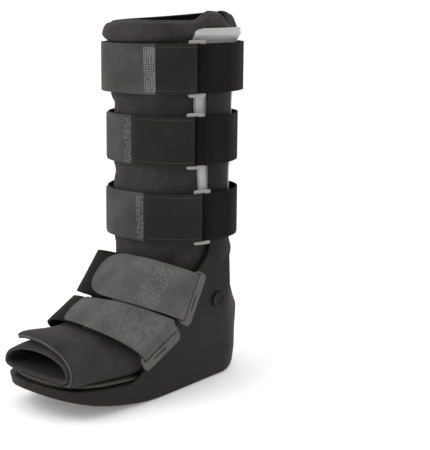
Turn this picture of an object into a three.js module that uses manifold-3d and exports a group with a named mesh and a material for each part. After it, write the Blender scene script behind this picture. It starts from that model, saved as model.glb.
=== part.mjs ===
// Medical walking boot, in millimetres, with +Z up.
// The toes point to -Y and the heel to +Y. The near side of the boot, with the strap rings, is +X.
// The origin is on the floor, under the middle of the boot's length and width.
import * as THREE from 'three';
import { mergeVertices } from 'three/addons/utils/BufferGeometryUtils.js';
import Module from 'manifold-3d';

const wasm = await Module();
wasm.setup();

// Driving sizes of the sole
const SOLE_LENGTH = 279;
const BALL_WIDTH = 122;
const HEEL_WIDTH = 100;
const TOE_SPRING = 26;
const TOE_ROCKER = 130;
const HEEL_RISE = 10;
const HEEL_ROCKER = 44;
const RIM_HEIGHT = 25;
const TOE_RIM_RISE = 10;
const SOLE_EDGE_RADIUS = 5;
const SOLE_DRAFT = 2.5;
const SOLE_ROCKER_POWER = 1.8;
const TOE_RIM_POWER = 1.2;
const FOOTBED_THICKNESS = 4;

// Driving sizes of the side walls, heel cup and uprights
const SHELL_WALL = 4;
const ANKLE_WIDTH = 124;
const ANKLE_HEIGHT = 155;
const HEEL_CUP_WIDTH = 104;
const HEEL_BULGE = 1.5;
const UPRIGHT_DROP = 17;
const UPRIGHT_WIDTH = 38;
const UPRIGHT_THICKNESS = 4;
const UPRIGHT_CHAMFER = 1.8;
const UPRIGHT_FRONT_FACET = 0.4;
const UPRIGHT_REAR_FACET = 0.34;
const RIVET_DIAMETER = 19;
const RIVET_HEIGHT = 92;

// Driving sizes of the upright pads
const PAD_THICKNESS = 3;
const PAD_WIDTH = 78;
const PAD_DROP = 12;
const PAD_RISE = 13;

// Driving sizes of the liner
const LINER_HEIGHT = 393;
const LEG_PLACE = 0.2652;
const LEG_FRONT = 74;
const LEG_BACK = 68;
const LEG_SIDE = 56;
const RIM_TILT = 5;
const RIM_BACK_RISE = 2;
const TOE_SETBACK = 5;
const FOOT_SIDE = 50;
const INSTEP_HEIGHT = 139;
const FOAM = 6;
const FLAP_THICKNESS = 4.5;
const FLAP_LIFT = 3;
const FLAP_CURL = 4;

// Driving sizes of the straps and rings
const STRAP_WIDTH = 51;
const WEBBING = 1.6;
const STRAP_RUN = 10;
const STRAP_LAP = 0.8;
const TAB_CORNER = 10;
const TAB_CORNER_TURN = 9;
const TAB_BLUNTNESS = 0.96;
const LOOP_INSET = 0.5;
const RING_THICKNESS = 2.4;
const RING_RAIL = 3.4;
const RING_BAR = 7.5;
const RING_SLOT = 5;
const SIDE_RING_SPREAD = 132;
const SIDE_RING_BACK_BAR = 11;
const SIDE_RING_FRONT_BAR = 4;
const SIDE_RING_SLOT = 4;
const RING_CHAMFER = 1.5;
const SIDE_RING_CHAMFER = 4;
const RING_BOSS_DIAMETER = 8;
const RING_BOSS_HEIGHT = 6.5;
const RING_BOSS_SHARE = 0.15;

// Clearances between pieces
const GAP = 0.4;
const PAD_GAP = 0.8;
const FOLD_GAP = 0.35;

// Places that follow from the sizes
const HEEL_Y = SOLE_LENGTH / 2;
const LEG_SETBACK = LEG_PLACE * SOLE_LENGTH;
const LEG_Y = HEEL_Y - LEG_SETBACK;
const FOOT_REACH = SOLE_LENGTH - LEG_SETBACK - TOE_SETBACK;
const PAD_TOP = LINER_HEIGHT - PAD_DROP;
const PAD_BOTTOM = ANKLE_HEIGHT + PAD_RISE;
const UPRIGHT_TOP = PAD_TOP - UPRIGHT_DROP;
const UPRIGHT_INNER = LEG_SIDE + PAD_GAP + PAD_THICKNESS + 3 * GAP;
const UPRIGHT_OUTER = UPRIGHT_INNER + UPRIGHT_THICKNESS;
const RING_LENGTH = STRAP_WIDTH + 2 * RING_RAIL;

// Height of the side walls' top edge, from the middle of the heel to their front ends.
// along is a share of SOLE_LENGTH from the heel, up a share of ANKLE_HEIGHT.
const WALL_EDGE = [
  { along: 0, up: 0.425 },
  { along: 0.006, up: 0.427 },
  { along: 0.022, up: 0.434 },
  { along: 0.045, up: 0.455 },
  { along: 0.075, up: 0.508 },
  { along: 0.105, up: 0.57 },
  { along: 0.137, up: 0.632 },
  { along: 0.161, up: 0.677 },
  { along: 0.172, up: 0.715 },
  { along: 0.182, up: 0.985 },
  { along: 0.24, up: 1 },
  { along: 0.294, up: 0.995 },
  { along: 0.303, up: 0.94 },
  { along: 0.353, up: 0.848 },
  { along: 0.428, up: 0.69 },
  { along: 0.5, up: 0.537 },
  { along: 0.572, up: 0.385 },
  { along: 0.626, up: 0.27 },
  { along: 0.655, up: 0.215 },
  { along: 0.672, up: 0.18 },
];

// The upright narrows between the straps. up is a share of UPRIGHT_TOP, front and rear are
// shares of UPRIGHT_WIDTH from the leg's axis. lean is 0 where the upright grows out of the
// side wall and 1 where it stands off the pad.
const UPRIGHT_ROWS = [
  { up: 0.33, front: 0.16, rear: 0.58, lean: 0 },
  { up: 0.365, front: 0.22, rear: 0.64, lean: 0.2 },
  { up: 0.4, front: 0.24, rear: 0.69, lean: 0.7 },
  { up: 0.435, front: 0.25, rear: 0.57, lean: 1 },
  { up: 0.47, front: 0.265, rear: 0.52, lean: 1 },
  { up: 0.52, front: 0.28, rear: 0.5, lean: 1 },
  { up: 0.62, front: 0.3, rear: 0.49, lean: 1 },
  { up: 0.72, front: 0.36, rear: 0.54, lean: 1 },
  { up: 0.83, front: 0.4, rear: 0.58, lean: 1 },
  { up: 0.95, front: 0.42, rear: 0.58, lean: 1 },
  { up: 0.985, front: 0.34, rear: 0.5, lean: 1 },
  { up: 1, front: 0.2, rear: 0.36, lean: 1 },
];

// The pad widens to a tab with round corners. up is a share of the pad's height, front and
// rear are shares of PAD_WIDTH from the leg's axis.
const PAD_ROWS = [
  { up: 0, front: 0.12, rear: 0.22 },
  { up: 0.02, front: 0.2, rear: 0.32 },
  { up: 0.1, front: 0.25, rear: 0.36 },
  { up: 0.28, front: 0.27, rear: 0.385 },
  { up: 0.45, front: 0.3, rear: 0.41 },
  { up: 0.63, front: 0.335, rear: 0.435 },
  { up: 0.78, front: 0.35, rear: 0.46 },
  { up: 0.9, front: 0.38, rear: 0.53 },
  { up: 0.945, front: 0.395, rear: 0.575 },
  { up: 0.97, front: 0.36, rear: 0.595 },
  { up: 0.99, front: 0.29, rear: 0.58 },
  { up: 1, front: 0.2, rear: 0.54 },
];

// Level sections of the liner's leg, from the rolled rim down to the ankle. up is a share of
// LINER_HEIGHT, front, back and side are shares of LEG_FRONT, LEG_BACK and LEG_SIDE, and lift
// is the share of the rim's tilt that the section takes.
const LEG_ROWS = [
  { up: 1.0, front: 0.96, back: 0.97, side: 0.95, lift: 1 },
  { up: 0.997, front: 1.02, back: 1.015, side: 1.02, lift: 1 },
  { up: 0.984, front: 1.075, back: 1.05, side: 1.075, lift: 1 },
  { up: 0.967, front: 1.1, back: 1.07, side: 1.095, lift: 0.8 },
  { up: 0.952, front: 1.08, back: 1.055, side: 1.05, lift: 0.5 },
  { up: 0.938, front: 1.02, back: 1.03, side: 1.005, lift: 0.2 },
  { up: 0.926, front: 0.99, back: 1.015, side: 1.0, lift: 0 },
  { up: 0.867, front: 0.99, back: 1.0, side: 1.0, lift: 0 },
  { up: 0.796, front: 0.955, back: 0.99, side: 1.0, lift: 0 },
  { up: 0.771, front: 0.885, back: 0.965, side: 0.99, lift: 0 },
  { up: 0.748, front: 0.88, back: 0.96, side: 0.99, lift: 0 },
  { up: 0.678, front: 0.885, back: 0.96, side: 1.0, lift: 0 },
  { up: 0.609, front: 0.88, back: 0.93, side: 1.0, lift: 0 },
  { up: 0.582, front: 0.858, back: 0.9, side: 0.99, lift: 0 },
  { up: 0.544, front: 0.89, back: 0.88, side: 1.0, lift: 0 },
  { up: 0.476, front: 0.905, back: 0.87, side: 1.0, lift: 0 },
  { up: 0.408, front: 0.895, back: 0.88, side: 0.995, lift: 0 },
  { up: 0.381, front: 0.87, back: 0.92, side: 0.98, lift: 0 },
];

// Slanting sections of the liner's foot, from the ankle to the toes. The ridge lies on the
// instep and the sole on the footbed. ridge and sole are shares of FOOT_REACH forward of the
// leg's axis, ridgeUp is a share of INSTEP_HEIGHT and soleUp one over the footbed, side is a
// share of FOOT_SIDE, and waist is the height share at which the section is widest.
const FOOT_ROWS = [
  { ridge: 0.325, ridgeUp: 1.0, sole: -0.335, soleUp: 0.638, side: 1.09, waist: 0.5 },
  { ridge: 0.36, ridgeUp: 0.935, sole: -0.338, soleUp: 0.472, side: 1.06, waist: 0.5 },
  { ridge: 0.405, ridgeUp: 0.871, sole: -0.333, soleUp: 0.329, side: 1.02, waist: 0.48 },
  { ridge: 0.45, ridgeUp: 0.809, sole: -0.315, soleUp: 0.185, side: 1.0, waist: 0.46 },
  { ridge: 0.495, ridgeUp: 0.748, sole: -0.275, soleUp: 0.077, side: 1.0, waist: 0.44 },
  { ridge: 0.535, ridgeUp: 0.698, sole: -0.2, soleUp: 0.018, side: 1.01, waist: 0.42 },
  { ridge: 0.585, ridgeUp: 0.64, sole: -0.05, soleUp: 0.004, side: 1.02, waist: 0.4 },
  { ridge: 0.64, ridgeUp: 0.586, sole: 0.135, soleUp: 0.004, side: 1.02, waist: 0.38 },
  { ridge: 0.705, ridgeUp: 0.543, sole: 0.375, soleUp: 0.004, side: 1.01, waist: 0.36 },
  { ridge: 0.785, ridgeUp: 0.529, sole: 0.6, soleUp: 0.004, side: 1.0, waist: 0.34 },
  { ridge: 0.865, ridgeUp: 0.522, sole: 0.775, soleUp: 0.004, side: 0.99, waist: 0.33 },
  { ridge: 0.925, ridgeUp: 0.511, sole: 0.885, soleUp: 0.004, side: 0.99, waist: 0.33 },
  { ridge: 0.97, ridgeUp: 0.489, sole: 0.99, soleUp: 0.004, side: 0.98, waist: 0.33 },
];

// The three calf straps. up is a share of the way from ANKLE_HEIGHT to UPRIGHT_TOP. ring, seam
// and end are turns round the leg in degrees, from the near side towards the toes: the ring, the
// seam between the hook panel and the grey tab, and the tab's free end. back is the squareness
// of the course behind the leg.
const CALF_STRAPS = [
  { name: 'top', up: 0.8885, ring: 22, seam: 57.5, end: 150, back: 2.4 },
  { name: 'middle', up: 0.535, ring: 25.5, seam: 86, end: 134, back: 2 },
  { name: 'lower', up: 0.153, ring: 18, seam: 73, end: 132, back: 2.3 },
];

// The two straps over the foot. The ring's centre is given by its share of FOOT_REACH forward
// of the leg's axis and of INSTEP_HEIGHT, and turned down by tilt degrees. The strap's upper
// and lower edges cross the ridge of the instep at the next four shares. flare is the share of
// STRAP_WIDTH by which the upper edge runs up past the near ring's end.
const FOOT_STRAPS = [
  {
    name: 'ankle', ring: 0.22, ringUp: 0.752, tilt: 62, top: 0.335, topUp: 1.022,
    low: 0.53, lowUp: 0.745, square: 2.4, tabEnd: 109, corner: 24, under: 40, flare: 0,
  },
  {
    name: 'instep', ring: 0.4475, ringUp: 0.45, tilt: 26.6, top: 0.572, topUp: 0.735,
    low: 0.735, lowUp: 0.6, square: 2, tabEnd: 105, corner: 8, under: 40, flare: 0.13,
  },
];

const MATERIALS = {
  shell: new THREE.MeshStandardMaterial({ color: 0x3b3834, roughness: 0.55, flatShading: true }),
  footbed: new THREE.MeshStandardMaterial({ color: 0x4b4b46, roughness: 0.6, flatShading: true }),
  pad: new THREE.MeshStandardMaterial({ color: 0xa9aca9, roughness: 0.5, flatShading: true }),
  liner: new THREE.MeshStandardMaterial({ color: 0x3d3b3d, roughness: 0.95, flatShading: true }),
  strap: new THREE.MeshStandardMaterial({ color: 0x2a2826, roughness: 0.9, flatShading: true }),
  tab: new THREE.MeshStandardMaterial({ color: 0x555553, roughness: 0.85, flatShading: true }),
  ring: new THREE.MeshStandardMaterial({ color: 0x9a9a98, roughness: 0.5, flatShading: true }),
};

const lerp = THREE.MathUtils.lerp;
const clamp = THREE.MathUtils.clamp;
const vec = (x, y, z) => new THREE.Vector3(x, y, z);

// Closed body from a list of triangles, turned outwards if it is inside out.
function closedBody(points, triangles) {
  let volume = 0;
  for (const [a, b, c] of triangles) {
    volume += points[a].dot(points[b].clone().cross(points[c]));
  }
  const index = triangles.flatMap(([a, b, c]) => (volume > 0 ? [a, b, c] : [a, c, b]));
  const positions = points.flatMap((p) => [p.x, p.y, p.z]);
  const geometry = new THREE.BufferGeometry();
  geometry.setAttribute('position', new THREE.Float32BufferAttribute(positions, 3));
  geometry.setIndex(index);
  return geometry;
}

// Body through a row of rings that all have the same number of points, with flat end caps.
function loft(rings) {
  const count = rings[0].length;
  const points = rings.flat();
  const triangles = [];
  for (let i = 0; i < rings.length - 1; i += 1) {
    for (let j = 0; j < count; j += 1) {
      const a = i * count + j;
      const b = i * count + ((j + 1) % count);
      triangles.push([a, b, b + count], [a, b + count, a + count]);
    }
  }
  const last = (rings.length - 1) * count;
  for (let j = 1; j < count - 1; j += 1) {
    triangles.push([0, j + 1, j], [last, last + j, last + j + 1]);
  }
  return closedBody(points, triangles);
}

// Wall between two grids of points that lie face to face, closed along its edges.
// A round wall is closed on itself along the second direction of the grid.
function wallBetween(front, back, round) {
  const rows = front.length;
  const columns = front[0].length;
  const points = [...front.flat(), ...back.flat()];
  const at = (side, i, j) => side * rows * columns + i * columns + (j % columns);
  const triangles = [];
  const quad = (a, b, c, d) => triangles.push([a, b, c], [a, c, d]);
  const steps = round ? columns : columns - 1;
  for (let i = 0; i < rows - 1; i += 1) {
    for (let j = 0; j < steps; j += 1) {
      quad(at(0, i, j), at(0, i, j + 1), at(0, i + 1, j + 1), at(0, i + 1, j));
      quad(at(1, i, j), at(1, i + 1, j), at(1, i + 1, j + 1), at(1, i, j + 1));
    }
  }
  for (let j = 0; j < steps; j += 1) {
    quad(at(0, 0, j), at(1, 0, j), at(1, 0, j + 1), at(0, 0, j + 1));
    quad(at(0, rows - 1, j), at(0, rows - 1, j + 1), at(1, rows - 1, j + 1), at(1, rows - 1, j));
  }
  if (!round) {
    for (let i = 0; i < rows - 1; i += 1) {
      quad(at(0, i, 0), at(0, i + 1, 0), at(1, i + 1, 0), at(1, i, 0));
      const end = columns - 1;
      quad(at(0, i, end), at(1, i, end), at(1, i + 1, end), at(0, i + 1, end));
    }
  }
  return closedBody(points, triangles);
}

// Webbing along a row of lines { low, high }. Its thickness lies to one side of them.
function ribbon(lines, thickness) {
  const middles = lines.map(({ low, high }) => low.clone().add(high).multiplyScalar(0.5));
  const rings = lines.map(({ low, high }, i) => {
    const before = middles[Math.max(i - 1, 0)];
    const after = middles[Math.min(i + 1, lines.length - 1)];
    const along = after.clone().sub(before);
    const out = high.clone().sub(low).cross(along).normalize().multiplyScalar(thickness);
    return [low, high, high.clone().add(out), low.clone().add(out)];
  });
  return loft(rings);
}

function toSolid(geometry) {
  const bare = new THREE.BufferGeometry();
  bare.setAttribute('position', geometry.getAttribute('position'));
  bare.setIndex(geometry.getIndex());
  const merged = mergeVertices(bare, 1e-4);
  return new wasm.Manifold(new wasm.Mesh({
    numProp: 3,
    vertProperties: new Float32Array(merged.getAttribute('position').array),
    triVerts: new Uint32Array(merged.getIndex().array),
  }));
}

function toGeometry(solid) {
  const { vertProperties, triVerts } = solid.getMesh();
  const geometry = new THREE.BufferGeometry();
  geometry.setAttribute('position', new THREE.BufferAttribute(vertProperties, 3));
  geometry.setIndex(new THREE.BufferAttribute(triVerts, 1));
  return geometry;
}

// Value of a table's column where its along column has the given value.
function tableValue(table, along, column, place) {
  let k = 1;
  while (k < table.length - 1 && (table[k][along] - place) * (table[0][along] - place) > 0) {
    k += 1;
  }
  const [a, b] = [table[k - 1], table[k]];
  const share = clamp((place - a[along]) / (b[along] - a[along]), 0, 1);
  return lerp(a[column], b[column], share);
}

// Rounding of an outline's end: 0 at the end itself and 1 from length on.
function endRounding(distance, length, squareness) {
  const open = 1 - clamp(distance / length, 0, 1);
  return (1 - open ** squareness) ** (1 / squareness);
}

// Sole: half width, underside and rim at a share of the length from the heel.
const BALL_PLACE = 0.68;
const HEEL_ROUNDING = { length: 0.17, squareness: 2.3 };
const TOE_ROUNDING = { length: 0.2, squareness: 2.8 };

const heelRounding = (share) => endRounding(share, HEEL_ROUNDING.length, HEEL_ROUNDING.squareness);

function soleHalfWidth(share) {
  const spread = THREE.MathUtils.smoothstep(share, 0, BALL_PLACE);
  const toe = endRounding(1 - share, TOE_ROUNDING.length, TOE_ROUNDING.squareness);
  return (lerp(HEEL_WIDTH, BALL_WIDTH, spread) / 2) * heelRounding(share) * toe;
}

function undersideHeight(share) {
  const toe = clamp(1 - ((1 - share) * SOLE_LENGTH) / TOE_ROCKER, 0, 1);
  const heel = clamp(1 - (share * SOLE_LENGTH) / HEEL_ROCKER, 0, 1);
  return TOE_SPRING * toe ** SOLE_ROCKER_POWER + HEEL_RISE * heel ** SOLE_ROCKER_POWER;
}

function rimHeight(share) {
  const toe = clamp(1 - ((1 - share) * SOLE_LENGTH) / TOE_ROCKER, 0, 1);
  return RIM_HEIGHT + TOE_RIM_RISE * toe ** TOE_RIM_POWER;
}

const soleY = (share) => HEEL_Y - share * SOLE_LENGTH;
const soleShare = (y) => (HEEL_Y - y) / SOLE_LENGTH;
const footbedTop = (y) => rimHeight(soleShare(y)) + GAP + FOOTBED_THICKNESS;

// Section across the sole or the footbed: half of its outline, mirrored to the other side.
function mirroredRing(y, half) {
  const right = half.map(([x, z]) => vec(x, y, z));
  const left = half.map(([x, z]) => vec(-x, y, z)).reverse();
  return [...right, ...left];
}

function soleShares(inset, rows) {
  const first = inset / SOLE_LENGTH + 0.0005;
  return Array.from({ length: rows }, (_, i) => {
    const turn = (1 - Math.cos((Math.PI * i) / (rows - 1))) / 2;
    return lerp(first, 1 - first, turn);
  });
}

function soleBlock() {
  const rings = soleShares(0, 34).map((share) => {
    const w = soleHalfWidth(share);
    const low = undersideHeight(share);
    const rim = rimHeight(share);
    const r = Math.min(SOLE_EDGE_RADIUS, (rim - low) / 3, w / 2);
    const foot = w - Math.min(SOLE_DRAFT, w / 4);
    return mirroredRing(soleY(share), [
      [foot - r, low],
      [foot - 0.3 * r, low + 0.3 * r],
      [foot + 0.2 * (w - foot), low + r],
      [w, rim - 1],
      [w - 1, rim],
    ]);
  });
  return loft(rings);
}

function footbedPlate() {
  const inset = SHELL_WALL + 2 * GAP;
  const end = inset / SOLE_LENGTH;
  const rings = soleShares(inset, 26).map((share) => {
    const w = Math.max(soleHalfWidth((share - end) / (1 - 2 * end)) - inset, 2);
    const base = rimHeight(share) + GAP;
    return mirroredRing(soleY(share), [
      [w, base],
      [w, base + 0.6 * FOOTBED_THICKNESS],
      [w - Math.min(1.5, w / 2), base + FOOTBED_THICKNESS],
    ]);
  });
  return loft(rings);
}

// Outer face of the side walls and heel cup, seen from above, at a height over the floor.
function wallPoint(share, height, side) {
  const rise = THREE.MathUtils.smoothstep(height, RIM_HEIGHT + 5, 0.76 * ANKLE_HEIGHT);
  const cup = THREE.MathUtils.smoothstep(share, 0.09, 0.19);
  const ankle = (lerp(HEEL_CUP_WIDTH, ANKLE_WIDTH, cup) / 2) * heelRounding(share);
  const bulge = HEEL_BULGE * Math.exp(-(((height - 0.46 * ANKLE_HEIGHT) / 20) ** 2));
  const x = lerp(soleHalfWidth(share), ankle, rise) + bulge * (1 - cup) * heelRounding(share);
  return vec(side * x, soleY(share), height);
}

function wallColumn(share, side, inset) {
  const rows = 8;
  const top = ANKLE_HEIGHT * tableValue(WALL_EDGE, 'along', 'up', share);
  const foot = RIM_HEIGHT - 8;
  return Array.from({ length: rows }, (_, i) => {
    const height = lerp(foot, top, i / (rows - 1));
    const step = 0.002;
    const point = wallPoint(share, height, side);
    const ahead = wallPoint(share + step, height, side);
    const behind = wallPoint(Math.max(share - step, 0), height, side);
    const normal = share === 0 ? vec(0, 1, 0) : vec(behind.y - ahead.y, ahead.x - behind.x, 0);
    if (share > 0 && side < 0) {
      normal.multiplyScalar(-1);
    }
    return point.addScaledVector(normal.normalize(), -inset);
  });
}

function wallBody() {
  const shares = WALL_EDGE.map((row) => row.along);
  const columns = [
    ...shares.slice(1).reverse().map((share) => ({ share, side: 1 })),
    ...shares.map((share) => ({ share, side: -1 })),
  ];
  const outer = columns.map(({ share, side }) => wallColumn(share, side, 0));
  const inner = columns.map(({ share, side }) => wallColumn(share, side, SHELL_WALL));
  return wallBetween(outer, inner, false);
}

function uprightBody(side) {
  const rings = UPRIGHT_ROWS.map((row) => {
    const z = row.up * UPRIGHT_TOP;
    const out = lerp(ANKLE_WIDTH / 2 - 0.6, UPRIGHT_OUTER, row.lean);
    const inner = lerp(out - SHELL_WALL + 1, UPRIGHT_INNER, row.lean);
    const front = LEG_Y - row.front * UPRIGHT_WIDTH;
    const rear = LEG_Y + row.rear * UPRIGHT_WIDTH;
    const width = rear - front;
    return [
      vec(side * inner, front, z),
      vec(side * (out - UPRIGHT_CHAMFER), front, z),
      vec(side * out, front + UPRIGHT_FRONT_FACET * width, z),
      vec(side * out, rear - UPRIGHT_REAR_FACET * width, z),
      vec(side * (out - UPRIGHT_CHAMFER), rear, z),
      vec(side * inner, rear, z),
    ];
  });
  return loft(rings);
}

// Frame of a foot ring in its side plane: u runs up and forward along the strap, v down along
// the ring, both as [y, z].
function sideRingFrame({ ring, ringUp, tilt }) {
  const turn = THREE.MathUtils.degToRad(tilt);
  return {
    y: LEG_Y - ring * FOOT_REACH,
    z: ringUp * INSTEP_HEIGHT,
    u: [-Math.sin(turn), Math.cos(turn)],
    v: [-Math.cos(turn), -Math.sin(turn)],
  };
}

const SIDE_RING_IN = SIDE_RING_SPREAD / 2;
const SIDE_SLOT_BACK = -SIDE_RING_SLOT / 2;

function sidePoint(frame, side, u, v, x) {
  const y = frame.y + u * frame.u[0] + v * frame.v[0];
  const z = frame.z + u * frame.u[1] + v * frame.v[1];
  return vec(side * x, y, z);
}

// Low round boss on the side wall behind a foot ring's back bar, which carries the ring.
function ringBoss(strap, side) {
  const frame = sideRingFrame(strap);
  const out = SIDE_RING_IN - FOLD_GAP;
  const foot = out - RING_BOSS_HEIGHT;
  const radius = RING_BOSS_DIAMETER / 2;
  const boss = new THREE.CylinderGeometry(radius, radius, RING_BOSS_HEIGHT, 12);
  const bar = SIDE_SLOT_BACK - SIDE_RING_BACK_BAR / 2;
  const place = sidePoint(frame, side, bar, -RING_BOSS_SHARE * STRAP_WIDTH, (out + foot) / 2);
  return boss.rotateZ(Math.PI / 2).translate(place.x, place.y, place.z);
}

function shellBody() {
  return toGeometry(
    toSolid(soleBlock())
      .add(toSolid(wallBody()))
      .add(toSolid(uprightBody(1)))
      .add(toSolid(uprightBody(-1)))
      .add(toSolid(ringBoss(FOOT_STRAPS[0], 1)))
      .add(toSolid(ringBoss(FOOT_STRAPS[0], -1)))
      .add(toSolid(ringBoss(FOOT_STRAPS[1], 1)))
      .add(toSolid(ringBoss(FOOT_STRAPS[1], -1))),
  );
}

const RIVET_FACETS = 16;

// Dished rivet, seated on the wall and turned square to it.
function rivetBody(side) {
  const r = RIVET_DIAMETER / 2;
  const profile = [
    [0, 0], [r - 0.6, 0], [r, 0.6], [r - 0.5, 1.6], [r - 1.6, 2], [r - 2.6, 1.6],
    [r - 3.4, 0.9], [0.4 * r, 0.7], [0, 0.7],
  ].map(([x, y]) => new THREE.Vector2(x, y));
  const geometry = new THREE.LatheGeometry(profile, RIVET_FACETS);
  const share = soleShare(LEG_Y + 7);
  const step = 4;
  const seat = wallPoint(share, RIVET_HEIGHT, side);
  const above = wallPoint(share, RIVET_HEIGHT + step, side);
  const below = wallPoint(share, RIVET_HEIGHT - step, side);
  const slope = Math.atan2(side * (above.x - below.x), 2 * step);
  const normal = vec(side * Math.cos(slope), 0, -Math.sin(slope));
  geometry.applyQuaternion(new THREE.Quaternion().setFromUnitVectors(vec(0, 1, 0), normal));
  const place = seat.addScaledVector(normal, 2 * GAP);
  geometry.translate(place.x, place.y, place.z);
  return geometry;
}

// Liner leg at a height: reach to the front, back and side of the leg's axis.
function legSection(height) {
  const up = height / LINER_HEIGHT;
  const rows = LEG_ROWS.slice(2);
  const value = (column) => tableValue(rows, 'up', column, up);
  return {
    front: LEG_FRONT * value('front'),
    back: LEG_BACK * value('back'),
    side: LEG_SIDE * value('side'),
  };
}

const LEG_SQUARENESS = 2.3;
const FOOT_TOP_SQUARENESS = 2.1;
const FOOT_SOLE_SQUARENESS = 3.6;

// Half width of the liner's leg at a height and a distance behind the leg's axis. Near the
// tilted rim it is the widest of the heights that the tilt brings there.
function legHalfWidth(height, behind) {
  const lift = tableValue(LEG_ROWS.slice(2), 'up', 'lift', (height + RIM_TILT) / LINER_HEIGHT);
  const widths = [-1, 0, 1].map((share) => {
    const { front, back, side } = legSection(height + share * lift * (RIM_TILT + RIM_BACK_RISE));
    const out = Math.min(Math.abs(behind) / (behind < 0 ? front : back), 1);
    return side * (1 - out ** LEG_SQUARENESS) ** (1 / LEG_SQUARENESS);
  });
  return Math.max(...widths);
}

// Sections of the liner from the rim to the toes, each with its upper or front point, its
// lower or back point, its half width and its squareness.
function linerSections() {
  const leg = LEG_ROWS.map((row) => ({
    top: vec(0, LEG_Y - row.front * LEG_FRONT, row.up * LINER_HEIGHT - row.lift * RIM_BACK_RISE),
    low: vec(0, LEG_Y + row.back * LEG_BACK, row.up * LINER_HEIGHT + row.lift * RIM_BACK_RISE),
    side: row.side * LEG_SIDE,
    waist: 0.5,
    lift: row.lift * RIM_TILT,
    topSquareness: LEG_SQUARENESS,
    lowSquareness: LEG_SQUARENESS,
  }));
  const foot = FOOT_ROWS.map((row, i) => {
    const soleAt = LEG_Y - row.sole * FOOT_REACH;
    const blend = clamp(i / 6, 0, 1);
    return {
      top: vec(0, LEG_Y - row.ridge * FOOT_REACH, row.ridgeUp * INSTEP_HEIGHT),
      low: vec(0, soleAt, footbedTop(soleAt) + row.soleUp * INSTEP_HEIGHT),
      side: row.side * FOOT_SIDE,
      waist: row.waist,
      lift: 0,
      topSquareness: lerp(LEG_SQUARENESS, FOOT_TOP_SQUARENESS, blend),
      lowSquareness: lerp(LEG_SQUARENESS, FOOT_SOLE_SQUARENESS, blend),
    };
  });
  return [...leg, ...foot];
}

const SECTIONS = linerSections();

function sectionPoint(section, turn, out) {
  const across = Math.cos(turn);
  const up = Math.sin(turn);
  const squareness = up > 0 ? section.topSquareness : section.lowSquareness;
  const power = 2 / squareness;
  const centre = section.low.clone().lerp(section.top, section.waist);
  const reach = (up > 0 ? section.top : section.low).clone().sub(centre);
  const length = reach.length();
  reach.multiplyScalar(((length + out) / length) * Math.abs(up) ** power);
  const x = (section.side + out) * Math.sign(across) * Math.abs(across) ** power;
  const lift = section.lift * (x / section.side);
  return centre.add(reach).add(vec(x, 0, lift));
}

// Point of the liner between two sections, out millimetres off its outer face.
function linerPoint(place, turn, out) {
  const k = clamp(Math.floor(place), 0, SECTIONS.length - 2);
  const a = sectionPoint(SECTIONS[k], turn, out);
  const b = sectionPoint(SECTIONS[k + 1], turn, out);
  return a.lerp(b, place - k);
}

const LINER_FACETS = 28;

function linerBody() {
  const turns = Array.from({ length: LINER_FACETS }, (_, j) => (2 * Math.PI * j) / LINER_FACETS);
  const grid = (out) => SECTIONS.map((section) => turns.map((t) => sectionPoint(section, t, out)));
  return wallBetween(grid(0), grid(-FOAM), true);
}

// Outer flap: from the near side of the foot over the ridge to its free edge on the far side,
// which stands off the inner flap at the toes.
function toeFlapBody() {
  const start = LEG_ROWS.length + 6;
  const end = SECTIONS.length - 1;
  const farTurn = THREE.MathUtils.degToRad(124);
  const rows = 2 * (end - start) + 1;
  const columns = 15;
  const grid = (out) => Array.from({ length: rows }, (_, i) => {
    const place = lerp(start, end, i / (rows - 1));
    const toToe = THREE.MathUtils.smoothstep(i, 1, rows - 1);
    const nearTurn = THREE.MathUtils.degToRad(lerp(40, -40, THREE.MathUtils.smoothstep(i, 1, 7)));
    return Array.from({ length: columns }, (__, j) => {
      const turn = lerp(nearTurn, farTurn, j / (columns - 1));
      const over = THREE.MathUtils.smoothstep(turn, 0, Math.PI / 2);
      const free = THREE.MathUtils.smoothstep(turn, Math.PI / 3, farTurn);
      const point = linerPoint(place, turn, out + FLAP_LIFT * toToe * over);
      point.z += FLAP_CURL * toToe * free;
      return point.setZ(Math.max(point.z, footbedTop(point.y) + GAP));
    });
  });
  return wallBetween(grid(PAD_GAP + FLAP_THICKNESS), grid(PAD_GAP), false);
}

function padBody(side) {
  const columns = 9;
  const grid = (out) => PAD_ROWS.map((row) => {
    const z = lerp(PAD_BOTTOM, PAD_TOP, row.up);
    return Array.from({ length: columns }, (_, j) => {
      const behind = lerp(-row.front * PAD_WIDTH, row.rear * PAD_WIDTH, j / (columns - 1));
      return vec(side * (legHalfWidth(z, behind) + PAD_GAP + out), LEG_Y + behind, z);
    });
  });
  return wallBetween(grid(PAD_THICKNESS), grid(0), false);
}

const strapHeight = ({ up }) => lerp(ANKLE_HEIGHT, UPRIGHT_TOP, up);

// Course of a calf strap seen from above, off the uprights and the liner. A turn of 0 is the
// near side, 90 the front, 180 the far side and 270 the back of the leg. Behind the leg's axis
// the course runs straight along the uprights for STRAP_RUN before it rounds the back.
function calfPoint(strap, degrees, out) {
  const height = strapHeight(strap);
  const reach = [-0.5, 0, 0.5].map((share) => legSection(height + share * STRAP_WIDTH));
  const front = Math.max(...reach.map((section) => section.front));
  const back = Math.max(...reach.map((section) => section.back));
  const turn = THREE.MathUtils.degToRad(degrees);
  const across = Math.cos(turn);
  const forward = Math.sin(turn);
  const depth = (forward > 0 ? front : back) + GAP + out;
  const half = UPRIGHT_OUTER + GAP + out;
  const power = 2 / (forward > 0 ? LEG_SQUARENESS : strap.back);
  const run = forward > 0 ? 0 : STRAP_RUN;
  const reachAlong = run + (depth - run) * Math.abs(forward) ** power;
  return vec(
    half * Math.sign(across) * Math.abs(across) ** power,
    LEG_Y - Math.sign(forward) * reachAlong,
    height,
  );
}

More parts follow.
